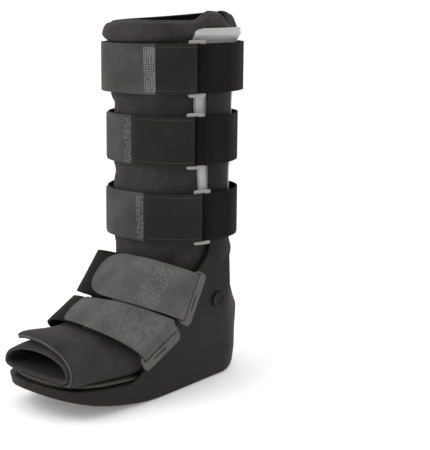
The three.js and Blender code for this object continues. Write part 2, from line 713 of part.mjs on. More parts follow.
// Frame of a calf ring: u runs to the front along the strap and h away from the leg.
function calfRingFrame(strap) {
  const step = 2;
  const centre = calfPoint(strap, strap.ring, 0);
  const ahead = calfPoint(strap, strap.ring + step, 0);
  const behind = calfPoint(strap, strap.ring - step, 0);
  const u = ahead.sub(behind).normalize();
  return { centre, u, h: vec(-u.y, u.x, 0) };
}

// Points off a calf ring's frame, from pairs [u, h].
function onRing(frame, pairs) {
  return pairs.map(([u, h]) => (
    frame.centre.clone().addScaledVector(frame.u, u).addScaledVector(frame.h, h)
  ));
}

const BAND_OUT = WEBBING;
const RING_IN = BAND_OUT + FOLD_GAP;
const RING_OUT = RING_IN + RING_THICKNESS;
const FOLD_OUT = RING_OUT + FOLD_GAP;
const CALF_RING_HALF = RING_BAR + RING_SLOT / 2;
const LOOP_REACH = CALF_RING_HALF - 1;
const RING_TURN = 11;
const LOOP_TURN = 18;
const SEAM_TURN = 0.4;

// Fold of webbing round a ring's bar, from below it to above it, as pairs [u, h].
function foldRoute(barEdge, ringIn, ringOut, reach) {
  const off = FOLD_GAP + 0.25;
  const middle = (ringIn + ringOut) / 2;
  return [
    [barEdge + 0.25, ringIn - FOLD_GAP],
    [barEdge - off + 0.1, ringIn - 0.05],
    [barEdge - off, middle],
    [barEdge - off + 0.1, ringOut + 0.05],
    [barEdge + 0.25, ringOut + FOLD_GAP],
    [reach, ringOut + FOLD_GAP],
  ];
}

// Upright line across a calf strap through a point, as wide as the strap or narrower.
function uprightLine(point, half) {
  return { low: point.clone().setZ(point.z - half), high: point.clone().setZ(point.z + half) };
}

function range(from, to, count) {
  return Array.from({ length: count }, (_, i) => lerp(from, to, i / (count - 1)));
}

// Dark strap of one level: from the near upright round the back and the far side to the
// front, under the ring's front bar, round it and back over itself up to the seam. Its start
// lies level with the ring's webbing loop and falls to the upright behind it.
function calfStrapBody(strap) {
  const frame = calfRingFrame(strap);
  const half = STRAP_WIDTH / 2;
  const start = onRing(frame, [[-LOOP_REACH - 3 * GAP, FOLD_OUT + WEBBING]]);
  const wrap = range(strap.ring - RING_TURN, strap.ring + RING_TURN - 360, 37).map((degrees, i) => {
    const raised = Math.max(1 - i / 4, 0) * (FOLD_OUT + WEBBING - BAND_OUT);
    return calfPoint(strap, degrees, BAND_OUT + raised);
  });
  const fold = onRing(frame, foldRoute(RING_SLOT / 2, RING_IN, RING_OUT, CALF_RING_HALF));
  const lap = range(strap.ring + RING_TURN + 1, strap.seam, 9).map((degrees, i) => {
    const settle = THREE.MathUtils.smoothstep(i, 0, 4);
    return calfPoint(strap, degrees, lerp(FOLD_OUT + STRAP_LAP, BAND_OUT + FOLD_GAP, settle));
  });
  const route = [...start, ...wrap, ...fold, ...lap];
  return ribbon(route.map((point) => uprightLine(point, half)), WEBBING);
}

// Grey tab of one level, with round corners at its free end.
function calfTabBody(strap) {
  const { seam, end } = strap;
  const turns = [...range(seam + SEAM_TURN, end - TAB_CORNER_TURN, 12),
    ...range(end - TAB_CORNER_TURN, end, 6).slice(1)];
  const lines = turns.map((turn) => {
    const into = clamp((turn - (end - TAB_CORNER_TURN)) / TAB_CORNER_TURN, 0, 1);
    const half = STRAP_WIDTH / 2 - TAB_CORNER * (1 - Math.sqrt(1 - TAB_BLUNTNESS * into ** 2));
    return uprightLine(calfPoint(strap, turn, BAND_OUT + FOLD_GAP), half);
  });
  return ribbon(lines, WEBBING);
}

// Short webbing loop round the ring's back bar, held under the strap's sewn start.
function calfLoopBody(strap) {
  const frame = calfRingFrame(strap);
  const half = STRAP_WIDTH / 2 - LOOP_INSET;
  const under = range(strap.ring - LOOP_TURN, strap.ring - RING_TURN, 3)
    .map((turn) => calfPoint(strap, turn, BAND_OUT));
  const route = foldRoute(RING_SLOT / 2, RING_IN, RING_OUT, LOOP_REACH);
  const fold = onRing(frame, route.map(([u, h]) => [-u, h]));
  const lines = [...under, ...fold].map((point) => uprightLine(point, half));
  return ribbon(lines, -WEBBING);
}

// Flat plate with square slots, extruded to its thickness. slots are [u0, u1, v0, v1].
function slottedPlate(u0, u1, halfLength, chamfer, slots, thickness) {
  const shape = new THREE.Shape([
    new THREE.Vector2(u0, -halfLength + chamfer),
    new THREE.Vector2(u0 + chamfer, -halfLength),
    new THREE.Vector2(u1 - chamfer, -halfLength),
    new THREE.Vector2(u1, -halfLength + chamfer),
    new THREE.Vector2(u1, halfLength - chamfer),
    new THREE.Vector2(u1 - chamfer, halfLength),
    new THREE.Vector2(u0 + chamfer, halfLength),
    new THREE.Vector2(u0, halfLength - chamfer),
  ]);
  for (const [a, b, c, d] of slots) {
    shape.holes.push(new THREE.Path([
      new THREE.Vector2(a, c),
      new THREE.Vector2(a, d),
      new THREE.Vector2(b, d),
      new THREE.Vector2(b, c),
    ]));
  }
  return new THREE.ExtrudeGeometry(shape, { depth: thickness, bevelEnabled: false });
}

function placed(geometry, centre, u, v, w) {
  const matrix = new THREE.Matrix4().makeBasis(u, v, w);
  matrix.setPosition(centre);
  geometry.applyMatrix4(matrix);
  return geometry;
}

function calfRingBody(strap) {
  const frame = calfRingFrame(strap);
  const slotHalf = STRAP_WIDTH / 2 + FOLD_GAP;
  const slots = [[-RING_SLOT / 2, RING_SLOT / 2, -slotHalf, slotHalf]];
  const plate = slottedPlate(
    -CALF_RING_HALF, CALF_RING_HALF, RING_LENGTH / 2, RING_CHAMFER, slots, RING_THICKNESS,
  );
  const seat = frame.centre.clone().addScaledVector(frame.h, RING_IN);
  return placed(plate, seat, frame.u, vec(0, 0, -1), frame.h);
}

function sideRingBody(strap, side) {
  const frame = sideRingFrame(strap);
  const slotHalf = STRAP_WIDTH / 2 + FOLD_GAP;
  const front = SIDE_RING_SLOT / 2;
  const back = SIDE_SLOT_BACK - SIDE_RING_BACK_BAR;
  const slit = [0.5, 0.64].map((share) => back + share * SIDE_RING_BACK_BAR);
  const slots = [
    [SIDE_SLOT_BACK, front, -slotHalf, slotHalf],
    [...slit, -0.1 * STRAP_WIDTH, 0.25 * STRAP_WIDTH],
  ];
  const plate = slottedPlate(
    back, front + SIDE_RING_FRONT_BAR, RING_LENGTH / 2, SIDE_RING_CHAMFER, slots, RING_THICKNESS,
  );
  const inner = side > 0 ? SIDE_RING_IN : SIDE_RING_IN + RING_THICKNESS;
  const centre = sidePoint(frame, side, 0, 0, inner);
  const u = vec(0, frame.u[0], frame.u[1]);
  const v = vec(0, frame.v[0], frame.v[1]);
  return placed(plate, centre, u, v, u.clone().cross(v));
}

const FOOT_TAB_CORNER = 0.42;
const FOOT_TAB_BLUNTNESS = 0.98;
const FOLD_START = 6;

// Lines of a foot strap: folded round the ring's front bar, then over the foot in an arch to
// the given turn, 90 at the ridge. The arch lies lift further off the foot at the ridge and
// spread further out at its end, with its upper edge flared at the ring. Its corners are
// rounded over the last degrees.
function footStrapLines(strap, side, { end, corner, lift, spread, flare }) {
  const frame = sideRingFrame(strap);
  const half = STRAP_WIDTH / 2;
  const ringOut = SIDE_RING_IN + RING_THICKNESS;
  const barEnd = SIDE_RING_SLOT / 2 + SIDE_RING_FRONT_BAR;
  const route = [
    [barEnd + FOLD_START, SIDE_RING_IN - FOLD_GAP],
    ...foldRoute(SIDE_RING_SLOT / 2, SIDE_RING_IN, ringOut, barEnd),
  ];
  const lines = route.map(([u, x]) => ({
    low: sidePoint(frame, side, u, half, x),
    high: sidePoint(frame, side, u, -half, x),
  }));
  const start = lines.at(-1);
  const ridge = {
    high: vec(0, LEG_Y - strap.top * FOOT_REACH - lift, strap.topUp * INSTEP_HEIGHT + lift),
    low: vec(0, LEG_Y - strap.low * FOOT_REACH - lift, strap.lowUp * INSTEP_HEIGHT + lift),
  };
  const power = 2 / strap.square;
  const turns = [...range(8, end - corner, 14), ...range(end - corner, end, 6).slice(1)];
  for (const degrees of turns) {
    const turn = THREE.MathUtils.degToRad(degrees);
    const rise = Math.sin(turn) ** power;
    const across = Math.sign(Math.cos(turn)) * Math.abs(Math.cos(turn)) ** power;
    const x = side * (Math.abs(start.low.x) + (spread * (1 - Math.cos(turn))) / 2) * across;
    const high = start.high.clone().lerp(ridge.high, rise).setX(x);
    const low = start.low.clone().lerp(ridge.low, rise).setX(x);
    const past = flare * STRAP_WIDTH * (1 - clamp(degrees / 90, 0, 1) ** 3);
    high.sub(vec(0, past * frame.v[0], past * frame.v[1]));
    const into = clamp((degrees - (end - corner)) / corner, 0, 1);
    const narrowed = FOOT_TAB_CORNER * (1 - Math.sqrt(1 - FOOT_TAB_BLUNTNESS * into ** 2));
    lines.push({ low: low.clone().lerp(high, narrowed), high: high.clone().lerp(low, narrowed) });
  }
  return lines;
}

const group = new THREE.Group();

function addPiece(name, geometry, material) {
  geometry.deleteAttribute('uv');
  geometry.computeVertexNormals();
  const mesh = new THREE.Mesh(geometry, material);
  mesh.name = name;
  group.add(mesh);
}

addPiece('shell', shellBody(), MATERIALS.shell);
addPiece('footbed', footbedPlate(), MATERIALS.footbed);
addPiece('liner', linerBody(), MATERIALS.liner);
addPiece('toe_flap', toeFlapBody(), MATERIALS.liner);

for (const [end, side] of [['near', 1], ['far', -1]]) {
  addPiece(`rivet_${end}`, rivetBody(side), MATERIALS.shell);
  addPiece(`upright_pad_${end}`, padBody(side), MATERIALS.pad);
  for (const strap of FOOT_STRAPS) {
    addPiece(`${strap.name}_ring_${end}`, sideRingBody(strap, side), MATERIALS.ring);
  }
}

for (const strap of CALF_STRAPS) {
  addPiece(`${strap.name}_strap`, calfStrapBody(strap), MATERIALS.strap);
  addPiece(`${strap.name}_tab`, calfTabBody(strap), MATERIALS.tab);
  addPiece(`${strap.name}_ring_loop`, calfLoopBody(strap), MATERIALS.strap);
  addPiece(`${strap.name}_ring`, calfRingBody(strap), MATERIALS.ring);
}

for (const strap of FOOT_STRAPS) {
  const apart = WEBBING + 2 * FOLD_GAP;
  const tab = footStrapLines(strap, 1, {
    end: strap.tabEnd, corner: strap.corner, lift: apart, spread: apart, flare: strap.flare,
  });
  const base = footStrapLines(strap, -1, {
    end: 180 - strap.under, corner: 1, lift: 0, spread: -apart, flare: 0,
  });
  addPiece(`${strap.name}_tab`, ribbon(tab, WEBBING), MATERIALS.tab);
  addPiece(`${strap.name}_strap`, ribbon(base, -WEBBING), MATERIALS.strap);
}

export default group;
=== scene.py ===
# %% [markdown]
# # A medical walking boot
# The boot is a hard shell with a rocker sole, two uprights and a padded cloth liner that hook and
# loop straps hold shut. The CAD frame gives every place. The cells below give each part its real
# surface: moulded plastic, brushed cloth over foam, webbing and thread.

import math

import bpy
import numpy as np
from mathutils import Matrix, Vector


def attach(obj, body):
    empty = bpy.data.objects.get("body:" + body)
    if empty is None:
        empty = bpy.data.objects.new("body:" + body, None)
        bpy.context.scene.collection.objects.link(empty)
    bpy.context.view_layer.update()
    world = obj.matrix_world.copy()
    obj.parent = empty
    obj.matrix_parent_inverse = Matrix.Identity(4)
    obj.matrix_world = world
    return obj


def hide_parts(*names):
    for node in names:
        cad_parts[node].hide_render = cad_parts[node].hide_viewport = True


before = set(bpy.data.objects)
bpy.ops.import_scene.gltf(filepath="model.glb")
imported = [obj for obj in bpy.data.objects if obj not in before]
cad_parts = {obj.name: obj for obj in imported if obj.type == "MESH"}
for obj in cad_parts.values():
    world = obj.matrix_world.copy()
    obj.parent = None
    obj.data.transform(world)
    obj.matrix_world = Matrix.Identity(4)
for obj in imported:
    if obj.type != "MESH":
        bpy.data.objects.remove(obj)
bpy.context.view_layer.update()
MM = 0.001

# %% [markdown]
# ## Camera and light
# The picture was taken from a little above the middle of the boot with a long lens, and the boot
# stands left of the middle of the frame, so the lens is shifted. A pale floor, a white room and
# two large soft lamps give the plain studio look.

# %% Camera
TURN, PITCH = math.radians(44.7), math.radians(10.8)
back = Vector((math.sin(TURN) * math.cos(PITCH), -math.cos(TURN) * math.cos(PITCH), math.sin(PITCH)))
right = Vector((math.cos(TURN), math.sin(TURN), 0))
up = back.cross(right)
camera = bpy.data.objects.new("camera", bpy.data.cameras.new("camera"))
camera.data.lens = 36 * 1144.8 / 450
camera.data.shift_x = (215 - 150) / 450
camera.data.shift_y = (215 - 225) / 450
camera.data.clip_end = 20
camera.matrix_world = Matrix((
    (right.x, up.x, back.x, 0.8504),
    (right.y, up.y, back.y, -0.8295),
    (right.z, up.z, back.z, 0.4125),
    (0, 0, 0, 1),
))
bpy.context.scene.collection.objects.link(camera)
bpy.context.scene.camera = camera
bpy.context.scene.view_settings.view_transform = "Standard"


# %% Colour and node helpers
def paint(code):
    """Linear colour of an sRGB hex code: each channel's gamma curve is undone."""
    channels = [int(code[k:k + 2], 16) / 255 for k in (1, 3, 5)]
    return (*[c / 12.92 if c <= 0.04045 else ((c + 0.055) / 1.055) ** 2.4 for c in channels], 1.0)


def add(tree, kind, links=(), **settings):
    """Adds one node: plain settings by name, socket values in a dict called inputs, and links as
    pairs of socket name and source socket."""
    made = tree.nodes.new(kind)
    for socket, value in settings.pop("inputs", {}).items():
        made.inputs[socket].default_value = value
    for name, value in settings.items():
        setattr(made, name, value)
    for socket, source in links:
        tree.links.new(source, made.inputs[socket])
    return made


# %% Lamps, room and floor
world = bpy.data.worlds.new("white_room")
world.use_nodes = True
world.node_tree.nodes["Background"].inputs["Color"].default_value = (1, 1, 1, 1)
world.node_tree.nodes["Background"].inputs["Strength"].default_value = 1.04
bpy.context.scene.world = world

for name, place, size, power in (
    ("key_lamp", (-0.5, -1.5, 1.7), 1.3, 14),
    ("fill_lamp", (1.7, 0.2, 1.0), 1.2, 1),
):
    lamp = bpy.data.objects.new(name, bpy.data.lights.new(name, "AREA"))
    lamp.data.energy = power
    lamp.data.size = size
    lamp.location = place
    aim = Vector((0, 0, 0.2)) - Vector(place)
    lamp.rotation_mode = "QUATERNION"
    lamp.rotation_quaternion = aim.to_track_quat("-Z", "Y")
    bpy.context.scene.collection.objects.link(lamp)

floor_mesh = bpy.data.meshes.new("floor")
floor_mesh.from_pydata([(-8, -8, 0), (8, -8, 0), (8, 8, 0), (-8, 8, 0)], [], [(0, 1, 2, 3)])
floor = bpy.data.objects.new("floor", floor_mesh)
bpy.context.scene.collection.objects.link(floor)
paper = bpy.data.materials.new("white_paper")
paper.use_nodes = True
paper.node_tree.nodes["Principled BSDF"].inputs["Base Color"].default_value = paint("#fbfbfb")
paper.node_tree.nodes["Principled BSDF"].inputs["Roughness"].default_value = 0.9
paper.node_tree.nodes["Principled BSDF"].inputs["Emission Color"].default_value = (1, 1, 1, 1)
paper.node_tree.nodes["Principled BSDF"].inputs["Emission Strength"].default_value = 0.15
floor.data.materials.append(paper)


# %% [markdown]
# ## Surfaces from numbers
# Every new piece is a grid of points worked out with numpy. A table holds a few measured sections
# and a smooth curve runs through them, so the piece has no facets. A grid that is closed around
# makes a tube, and its two ends are closed with one face each.

# %% Curves and grids
def curve_through(xs, ys, x):
    """Monotone cubic through the points (xs, ys): the slope at a point is the harmonic mean of
    the two chords beside it, or 0 where they turn, and Hermite cubics join the points."""
    xs, ys = np.asarray(xs, float), np.asarray(ys, float)
    order = np.argsort(xs)
    xs, ys = xs[order], ys[order]
    x = np.clip(np.asarray(x, float), xs[0], xs[-1])
    chord = np.diff(ys) / np.diff(xs)
    slope = np.zeros_like(ys)
    same = chord[:-1] * chord[1:] > 0
    total = np.where(same, chord[:-1] + chord[1:], 1)
    slope[1:-1] = np.where(same, 2 * chord[:-1] * chord[1:] / total, 0)
    slope[0], slope[-1] = chord[0], chord[-1]
    k = np.clip(np.searchsorted(xs, x, side="right") - 1, 0, len(xs) - 2)
    h = xs[k + 1] - xs[k]
    t = (x - xs[k]) / h
    return (
        (2 * t**3 - 3 * t**2 + 1) * ys[k] + (t**3 - 2 * t**2 + t) * h * slope[k]
        + (3 * t**2 - 2 * t**3) * ys[k + 1] + (t**3 - t**2) * h * slope[k + 1]
    )


def step(x, low, high):
    """0 below low, 1 above high, and the curve 3t^2 - 2t^3 between them."""
    t = np.clip((np.asarray(x, float) - low) / (high - low), 0, 1)
    return t * t * (3 - 2 * t)


def power(x, exponent):
    """x to an exponent, with the sign of x kept."""
    return np.sign(x) * np.abs(x) ** exponent


def unit(v):
    """v divided by its length, along the last axis."""
    return v / np.maximum(np.linalg.norm(v, axis=-1, keepdims=True), 1e-9)


def grid_mesh(name, points, around=True, along=False, uv=None):
    """Mesh of a grid of points in millimetres. The grid is closed around its columns and along
    its rows where asked, and a tube with open ends gets a face over each end. uv holds the two
    distances of each point in millimetres, one row and one column longer than the points where
    they close."""
    rows, columns = points.shape[:2]
    i, j = np.meshgrid(
        np.arange(rows if along else rows - 1), np.arange(columns if around else columns - 1),
        indexing="ij",
    )
    i, j = i.ravel(), j.ravel()
    corners = [(i, j), (i, j + 1), (i + 1, j + 1), (i + 1, j)]
    quads = np.stack([(a % rows) * columns + b % columns for a, b in corners], axis=1)
    flat = points.reshape(-1, 3)
    p = flat[quads]
    volume = np.einsum("ij,ij->i", p[:, 0], np.cross(p[:, 1], p[:, 2])).sum()
    volume += np.einsum("ij,ij->i", p[:, 0], np.cross(p[:, 2], p[:, 3])).sum()
    if uv is None:
        down = np.linalg.norm(np.diff(points, axis=0), axis=-1).mean(axis=1)
        over = np.linalg.norm(np.diff(points, axis=1), axis=-1).mean(axis=0)
        u = np.concatenate([[0], np.cumsum(down), [down.sum() + down.mean()]])
        v = np.concatenate([[0], np.cumsum(over), [over.sum() + over.mean()]])
        uv = np.stack(np.meshgrid(u, v, indexing="ij"), axis=-1)
    corner_uv = np.stack([uv[a, b] for a, b in corners], axis=1)
    faces = quads.tolist()
    caps = []
    if around and not along:
        caps = [list(range(columns))[::-1], [(rows - 1) * columns + c for c in range(columns)]]
    if volume < 0:
        faces = [f[::-1] for f in faces]
        caps = [f[::-1] for f in caps]
        corner_uv = corner_uv[:, ::-1]
    mesh = bpy.data.meshes.new(name)
    mesh.from_pydata((flat * MM).tolist(), [], faces + caps)
    layer = mesh.uv_layers.new(name="cloth_mm")
    loops = np.zeros((len(mesh.loops), 2))
    loops[: quads.size] = corner_uv.reshape(-1, 2)
    layer.data.foreach_set("uv", loops.ravel())
    mesh.shade_smooth()
    return mesh


def joined(name, meshes):
    """One mesh of several, with their UVs kept."""
    parts = []
    for mesh in meshes:
        part = bpy.data.objects.new(mesh.name, mesh)
        bpy.context.scene.collection.objects.link(part)
        parts.append(part)
    with bpy.context.temp_override(
        active_object=parts[0], object=parts[0], selected_objects=parts,
        selected_editable_objects=parts,
    ):
        bpy.ops.object.join()
    mesh = parts[0].data
    bpy.data.objects.remove(parts[0])
    mesh.name = name
    return mesh


def piece(name, mesh, material, slot, *replaced):
    """Object at the origin that rides on the boot and stands for the named CAD nodes."""
    made = bpy.data.objects.new(name, mesh)
    bpy.context.scene.collection.objects.link(made)
    if not mesh.materials:
        mesh.materials.append(material)
    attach(made, "root")
    if replaced:
        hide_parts(*replaced)
    triangles = sum(len(f.vertices) - 2 for f in mesh.polygons)
    print(f"{name}: {triangles} triangles")
    return made


# %% [markdown]
# ## Sizes
# The driving sizes are those of the CAD model, in millimetres, so that each surface lies where
# its solid does.

# %% Driving sizes
SOLE_LENGTH, BALL_WIDTH, HEEL_WIDTH = 279, 122, 100
TOE_SPRING, TOE_ROCKER, HEEL_RISE, HEEL_ROCKER = 26, 130, 10, 44
RIM_HEIGHT, TOE_RIM_RISE, SOLE_EDGE_RADIUS, SOLE_DRAFT = 25, 10, 5, 2.5
FOOTBED_THICKNESS = 4
SHELL_WALL, ANKLE_WIDTH, ANKLE_HEIGHT, HEEL_CUP_WIDTH, HEEL_BULGE = 4, 124, 155, 104, 1.5
UPRIGHT_DROP, UPRIGHT_WIDTH, UPRIGHT_THICKNESS = 17, 38, 4
PAD_THICKNESS, PAD_WIDTH, PAD_DROP, PAD_RISE = 3, 78, 12, 13
LINER_HEIGHT, LEG_PLACE, LEG_FRONT, LEG_BACK, LEG_SIDE = 393, 0.2652, 74, 68, 56
RIM_TILT, RIM_BACK_RISE, TOE_SETBACK, FOOT_SIDE, INSTEP_HEIGHT = 5, 2, 5, 50, 139
FOAM, FLAP_THICKNESS, FLAP_LIFT, FLAP_CURL = 6, 4.5, 3, 4
STRAP_WIDTH, WEBBING, RING_THICKNESS, RING_BAR, RING_SLOT = 51, 1.6, 2.4, 7.5, 5
STRAP_RUN, STRAP_LAP = 10, 0.8
SIDE_RING_SPREAD, SIDE_RING_FRONT_BAR, SIDE_RING_SLOT = 132, 4, 4
GAP, PAD_GAP, FOLD_GAP = 0.4, 0.8, 0.35
HEEL_Y = SOLE_LENGTH / 2
LEG_SETBACK = LEG_PLACE * SOLE_LENGTH
LEG_Y = HEEL_Y - LEG_SETBACK
FOOT_REACH = SOLE_LENGTH - LEG_SETBACK - TOE_SETBACK
PAD_TOP, PAD_BOTTOM = LINER_HEIGHT - PAD_DROP, ANKLE_HEIGHT + PAD_RISE
UPRIGHT_TOP = PAD_TOP - UPRIGHT_DROP
UPRIGHT_INNER = LEG_SIDE + PAD_GAP + PAD_THICKNESS + 3 * GAP
UPRIGHT_OUTER = UPRIGHT_INNER + UPRIGHT_THICKNESS

# %% [markdown]
# ## Finishes
# The shell is moulded plastic with a fine spark texture, which scatters its highlights and keeps
# it matte. The rings and pads are smoother grey plastic. Patterns read Object coordinates in
# metres, so a noise scale is one over the grain's size.


# %% Moulded plastics
def moulded_plastic(name, colour, worn, rough, grain_mm, grain_depth, shine=0.3):
    """Moulded plastic: a broad noise mixes the clean colour with a rubbed one, and a fine noise
    as wide as the mould's grain raises the surface."""
    material = bpy.data.materials.new(name)
    material.use_nodes = True
    tree = material.node_tree
    shader = tree.nodes["Principled BSDF"]
    place = add(tree, "ShaderNodeTexCoord").outputs["Object"]
    broad = add(tree, "ShaderNodeTexNoise", [("Vector", place)],
                inputs={"Scale": 1 / 0.045, "Detail": 4.0, "Roughness": 0.6})
    grain = add(tree, "ShaderNodeTexNoise", [("Vector", place)],
                inputs={"Scale": 1 / (grain_mm * MM), "Detail": 2.0})
    share = add(tree, "ShaderNodeMapRange", [("Value", broad.outputs["Fac"])],
                inputs={"From Min": 0.35, "From Max": 0.75})
    colours = add(tree, "ShaderNodeMix", [("Factor", share.outputs["Result"])], data_type="RGBA")
    colours.inputs["A"].default_value = paint(colour)
    colours.inputs["B"].default_value = paint(worn)
    gloss = add(tree, "ShaderNodeMapRange", [("Value", broad.outputs["Fac"])],
                inputs={"To Min": rough - 0.06, "To Max": rough + 0.08})
    bump = add(tree, "ShaderNodeBump", [("Height", grain.outputs["Fac"])],
               inputs={"Strength": 0.5, "Distance": grain_depth * MM})
    tree.links.new(colours.outputs["Result"], shader.inputs["Base Color"])
    tree.links.new(gloss.outputs["Result"], shader.inputs["Roughness"])
    tree.links.new(bump.outputs["Normal"], shader.inputs["Normal"])
    shader.inputs["IOR"].default_value = 1.49
    shader.inputs["Specular IOR Level"].default_value = shine
    return material


shell_plastic = moulded_plastic(
    "polypropylene_spark_finish", "#1a1615", "#211d1c", 0.55, 0.9, 0.05, 0.14)
footbed_plastic = moulded_plastic("polypropylene_footbed", "#37352f", "#403e38", 0.6, 0.9, 0.05)
pad_plastic = moulded_plastic("polyethylene_pale_grey", "#a2a4a1", "#aeb0ad", 0.42, 1.2, 0.02)
calf_ring_plastic = moulded_plastic("acetal_pale_grey", "#83827e", "#93928e", 0.42, 1.0, 0.03)
ring_plastic = moulded_plastic("acetal_grey", "#45423f", "#524f4c", 0.42, 1.0, 0.03)


# %% [markdown]
# The liner is loop cloth brushed to a short nap over foam. It has no visible weave, only a soft
# mottle where the nap leans different ways, and it glows a little at its rim. The straps are
# woven webbing: their ribs run across the strap, and the pattern follows the strap through its
# own UV map in millimetres.

# %% Cloth and webbing
def brushed_cloth(name, colour, leaning, nap_mm):
    """Brushed loop cloth: two noises, one of the nap's own size and one of leaning patches, mix
    two tones and raise the nap. Sheen gives the pale rim of a fibrous surface."""
    material = bpy.data.materials.new(name)
    material.use_nodes = True
    tree = material.node_tree
    shader = tree.nodes["Principled BSDF"]
    place = add(tree, "ShaderNodeTexCoord").outputs["Object"]
    nap = add(tree, "ShaderNodeTexNoise", [("Vector", place)],
              inputs={"Scale": 1 / (nap_mm * MM), "Detail": 5.0, "Roughness": 0.7})
    patch = add(tree, "ShaderNodeTexNoise", [("Vector", place)],
                inputs={"Scale": 1 / 0.022, "Detail": 4.0, "Roughness": 0.65})
    both = add(tree, "ShaderNodeMath", [(0, nap.outputs["Fac"]), (1, patch.outputs["Fac"])],
               operation="ADD")
    share = add(tree, "ShaderNodeMapRange", [("Value", both.outputs["Value"])],
                inputs={"From Min": 0.7, "From Max": 1.35})
    colours = add(tree, "ShaderNodeMix", [("Factor", share.outputs["Result"])], data_type="RGBA")
    colours.inputs["A"].default_value = paint(colour)
    colours.inputs["B"].default_value = paint(leaning)
    bump = add(tree, "ShaderNodeBump", [("Height", both.outputs["Value"])],
               inputs={"Strength": 0.55, "Distance": 0.35 * MM})
    tree.links.new(colours.outputs["Result"], shader.inputs["Base Color"])
    tree.links.new(bump.outputs["Normal"], shader.inputs["Normal"])
    shader.inputs["Roughness"].default_value = 0.95
    shader.inputs["Specular IOR Level"].default_value = 0.2
    shader.inputs["Sheen Weight"].default_value = 0.05
    shader.inputs["Sheen Roughness"].default_value = 0.6
    return material


def webbing(name, colour, high, rib_mm, speckle, shine=0.2):
    """Woven webbing: a wave across the strap's length gives the ribs, one along it the warp, and
    a noise of yarn size breaks them up."""
    material = bpy.data.materials.new(name)
    material.use_nodes = True
    tree = material.node_tree
    shader = tree.nodes["Principled BSDF"]
    cloth = add(tree, "ShaderNodeUVMap", uv_map="cloth_mm").outputs["UV"]
    place = add(tree, "ShaderNodeTexCoord").outputs["Object"]
    # A wave texture repeats every pi / 10 at scale 1.
    ribs = add(tree, "ShaderNodeTexWave", [("Vector", cloth)], bands_direction="X",
               inputs={"Scale": math.pi / 10 / rib_mm, "Distortion": 1.5, "Detail": 2.0})
    warp = add(tree, "ShaderNodeTexWave", [("Vector", cloth)], bands_direction="Y",
               inputs={"Scale": math.pi / 10 / (0.75 * rib_mm), "Distortion": 1.0})
    yarn = add(tree, "ShaderNodeTexNoise", [("Vector", cloth)],
               inputs={"Scale": 0.9, "Detail": 4.0, "Roughness": 0.75})
    patch = add(tree, "ShaderNodeTexNoise", [("Vector", place)],
                inputs={"Scale": 1 / 0.025, "Detail": 3.0})
    weave = add(tree, "ShaderNodeMath", [(0, ribs.outputs["Fac"]), (1, warp.outputs["Fac"])],
                operation="MULTIPLY")
    broken = add(tree, "ShaderNodeMath", [(0, yarn.outputs["Fac"]), (2, weave.outputs["Value"])],
                 operation="MULTIPLY_ADD", inputs={1: speckle})
    toned = add(tree, "ShaderNodeMath", [(0, patch.outputs["Fac"]), (2, broken.outputs["Value"])],
                operation="MULTIPLY_ADD", inputs={1: 0.8})
    share = add(tree, "ShaderNodeMapRange", [("Value", toned.outputs["Value"])],
                inputs={"From Min": 0.45 + 0.4 * speckle, "From Max": 1.0 + 0.6 * speckle})
    colours = add(tree, "ShaderNodeMix", [("Factor", share.outputs["Result"])], data_type="RGBA")
    colours.inputs["A"].default_value = paint(colour)
    colours.inputs["B"].default_value = paint(high)
    bump = add(tree, "ShaderNodeBump", [("Height", broken.outputs["Value"])],
               inputs={"Strength": 0.5, "Distance": 0.25 * MM})
    tree.links.new(colours.outputs["Result"], shader.inputs["Base Color"])
    tree.links.new(bump.outputs["Normal"], shader.inputs["Normal"])
    shader.inputs["Roughness"].default_value = 0.85
    shader.inputs["Specular IOR Level"].default_value = shine
    shader.inputs["Sheen Weight"].default_value = 0.03
    return material


liner_cloth = brushed_cloth("brushed_loop_cloth", "#1c1a1b", "#383535", 1.3)
# A darker copy of the liner cloth: painted shade for the liner's inner face, inside the tube.
inside_shade_cloth = brushed_cloth("brushed_cloth_inside_shade", "#0f0e0e", "#1f1d1d", 1.3)
# Black webbing, darker than the hook tape: the darkening is painted shade for the calf straps' near
# side.
shade_darkened_webbing = webbing("nylon_webbing_shade_darkened", "#080706", "#161412", 1.3, 0.8, 0.08)
hook_webbing = webbing("hook_tape_black", "#141211", "#272422", 1.1, 0.5)
grey_webbing = webbing("nylon_webbing_grey", "#232322", "#575756", 1.3, 0.9)
pale_webbing = webbing("nylon_webbing_pale", "#2f2f2e", "#6b6b68", 1.3, 1.1)
thread = moulded_plastic("polyester_thread_grey", "#8c8c8a", "#b0b0ae", 0.7, 0.6, 0.02)
black_thread = moulded_plastic("polyester_thread_black", "#43413f", "#555350", 0.7, 0.6, 0.02)
dark_thread = moulded_plastic("polyester_thread_dark", "#757472", "#8d8c89", 0.7, 0.6, 0.02)


# %% [markdown]
# ## The shell
# The sole, the side walls with the heel cup and the uprights are one moulding. Each is a tube of
# sections: across the sole, round the wall's thickness, and round the upright. They meet inside
# each other, as the moulding's walls do.

# %% Sole
def end_rounding(distance, length, squareness):
    """0 at an outline's end and 1 from length on, along a superellipse."""
    open_share = 1 - np.clip(distance / length, 0, 1)
    return (1 - open_share**squareness) ** (1 / squareness)


def heel_rounding(share):
    """Rounding of the heel in plan."""
    return end_rounding(share, 0.17, 2.3)


def sole_half_width(share):
    """Half width of the sole: the heel's widens smoothly to the ball's, both ends rounded."""
    spread = step(share, 0, 0.68)
    width = HEEL_WIDTH + (BALL_WIDTH - HEEL_WIDTH) * spread
    return width / 2 * heel_rounding(share) * end_rounding(1 - share, 0.2, 2.8)


def underside(share):
    """Height of the rocker's underside: it rises towards both ends as a power of the distance."""
    toe = np.clip(1 - (1 - share) * SOLE_LENGTH / TOE_ROCKER, 0, 1)
    heel = np.clip(1 - share * SOLE_LENGTH / HEEL_ROCKER, 0, 1)
    return TOE_SPRING * toe**1.8 + HEEL_RISE * heel**1.8


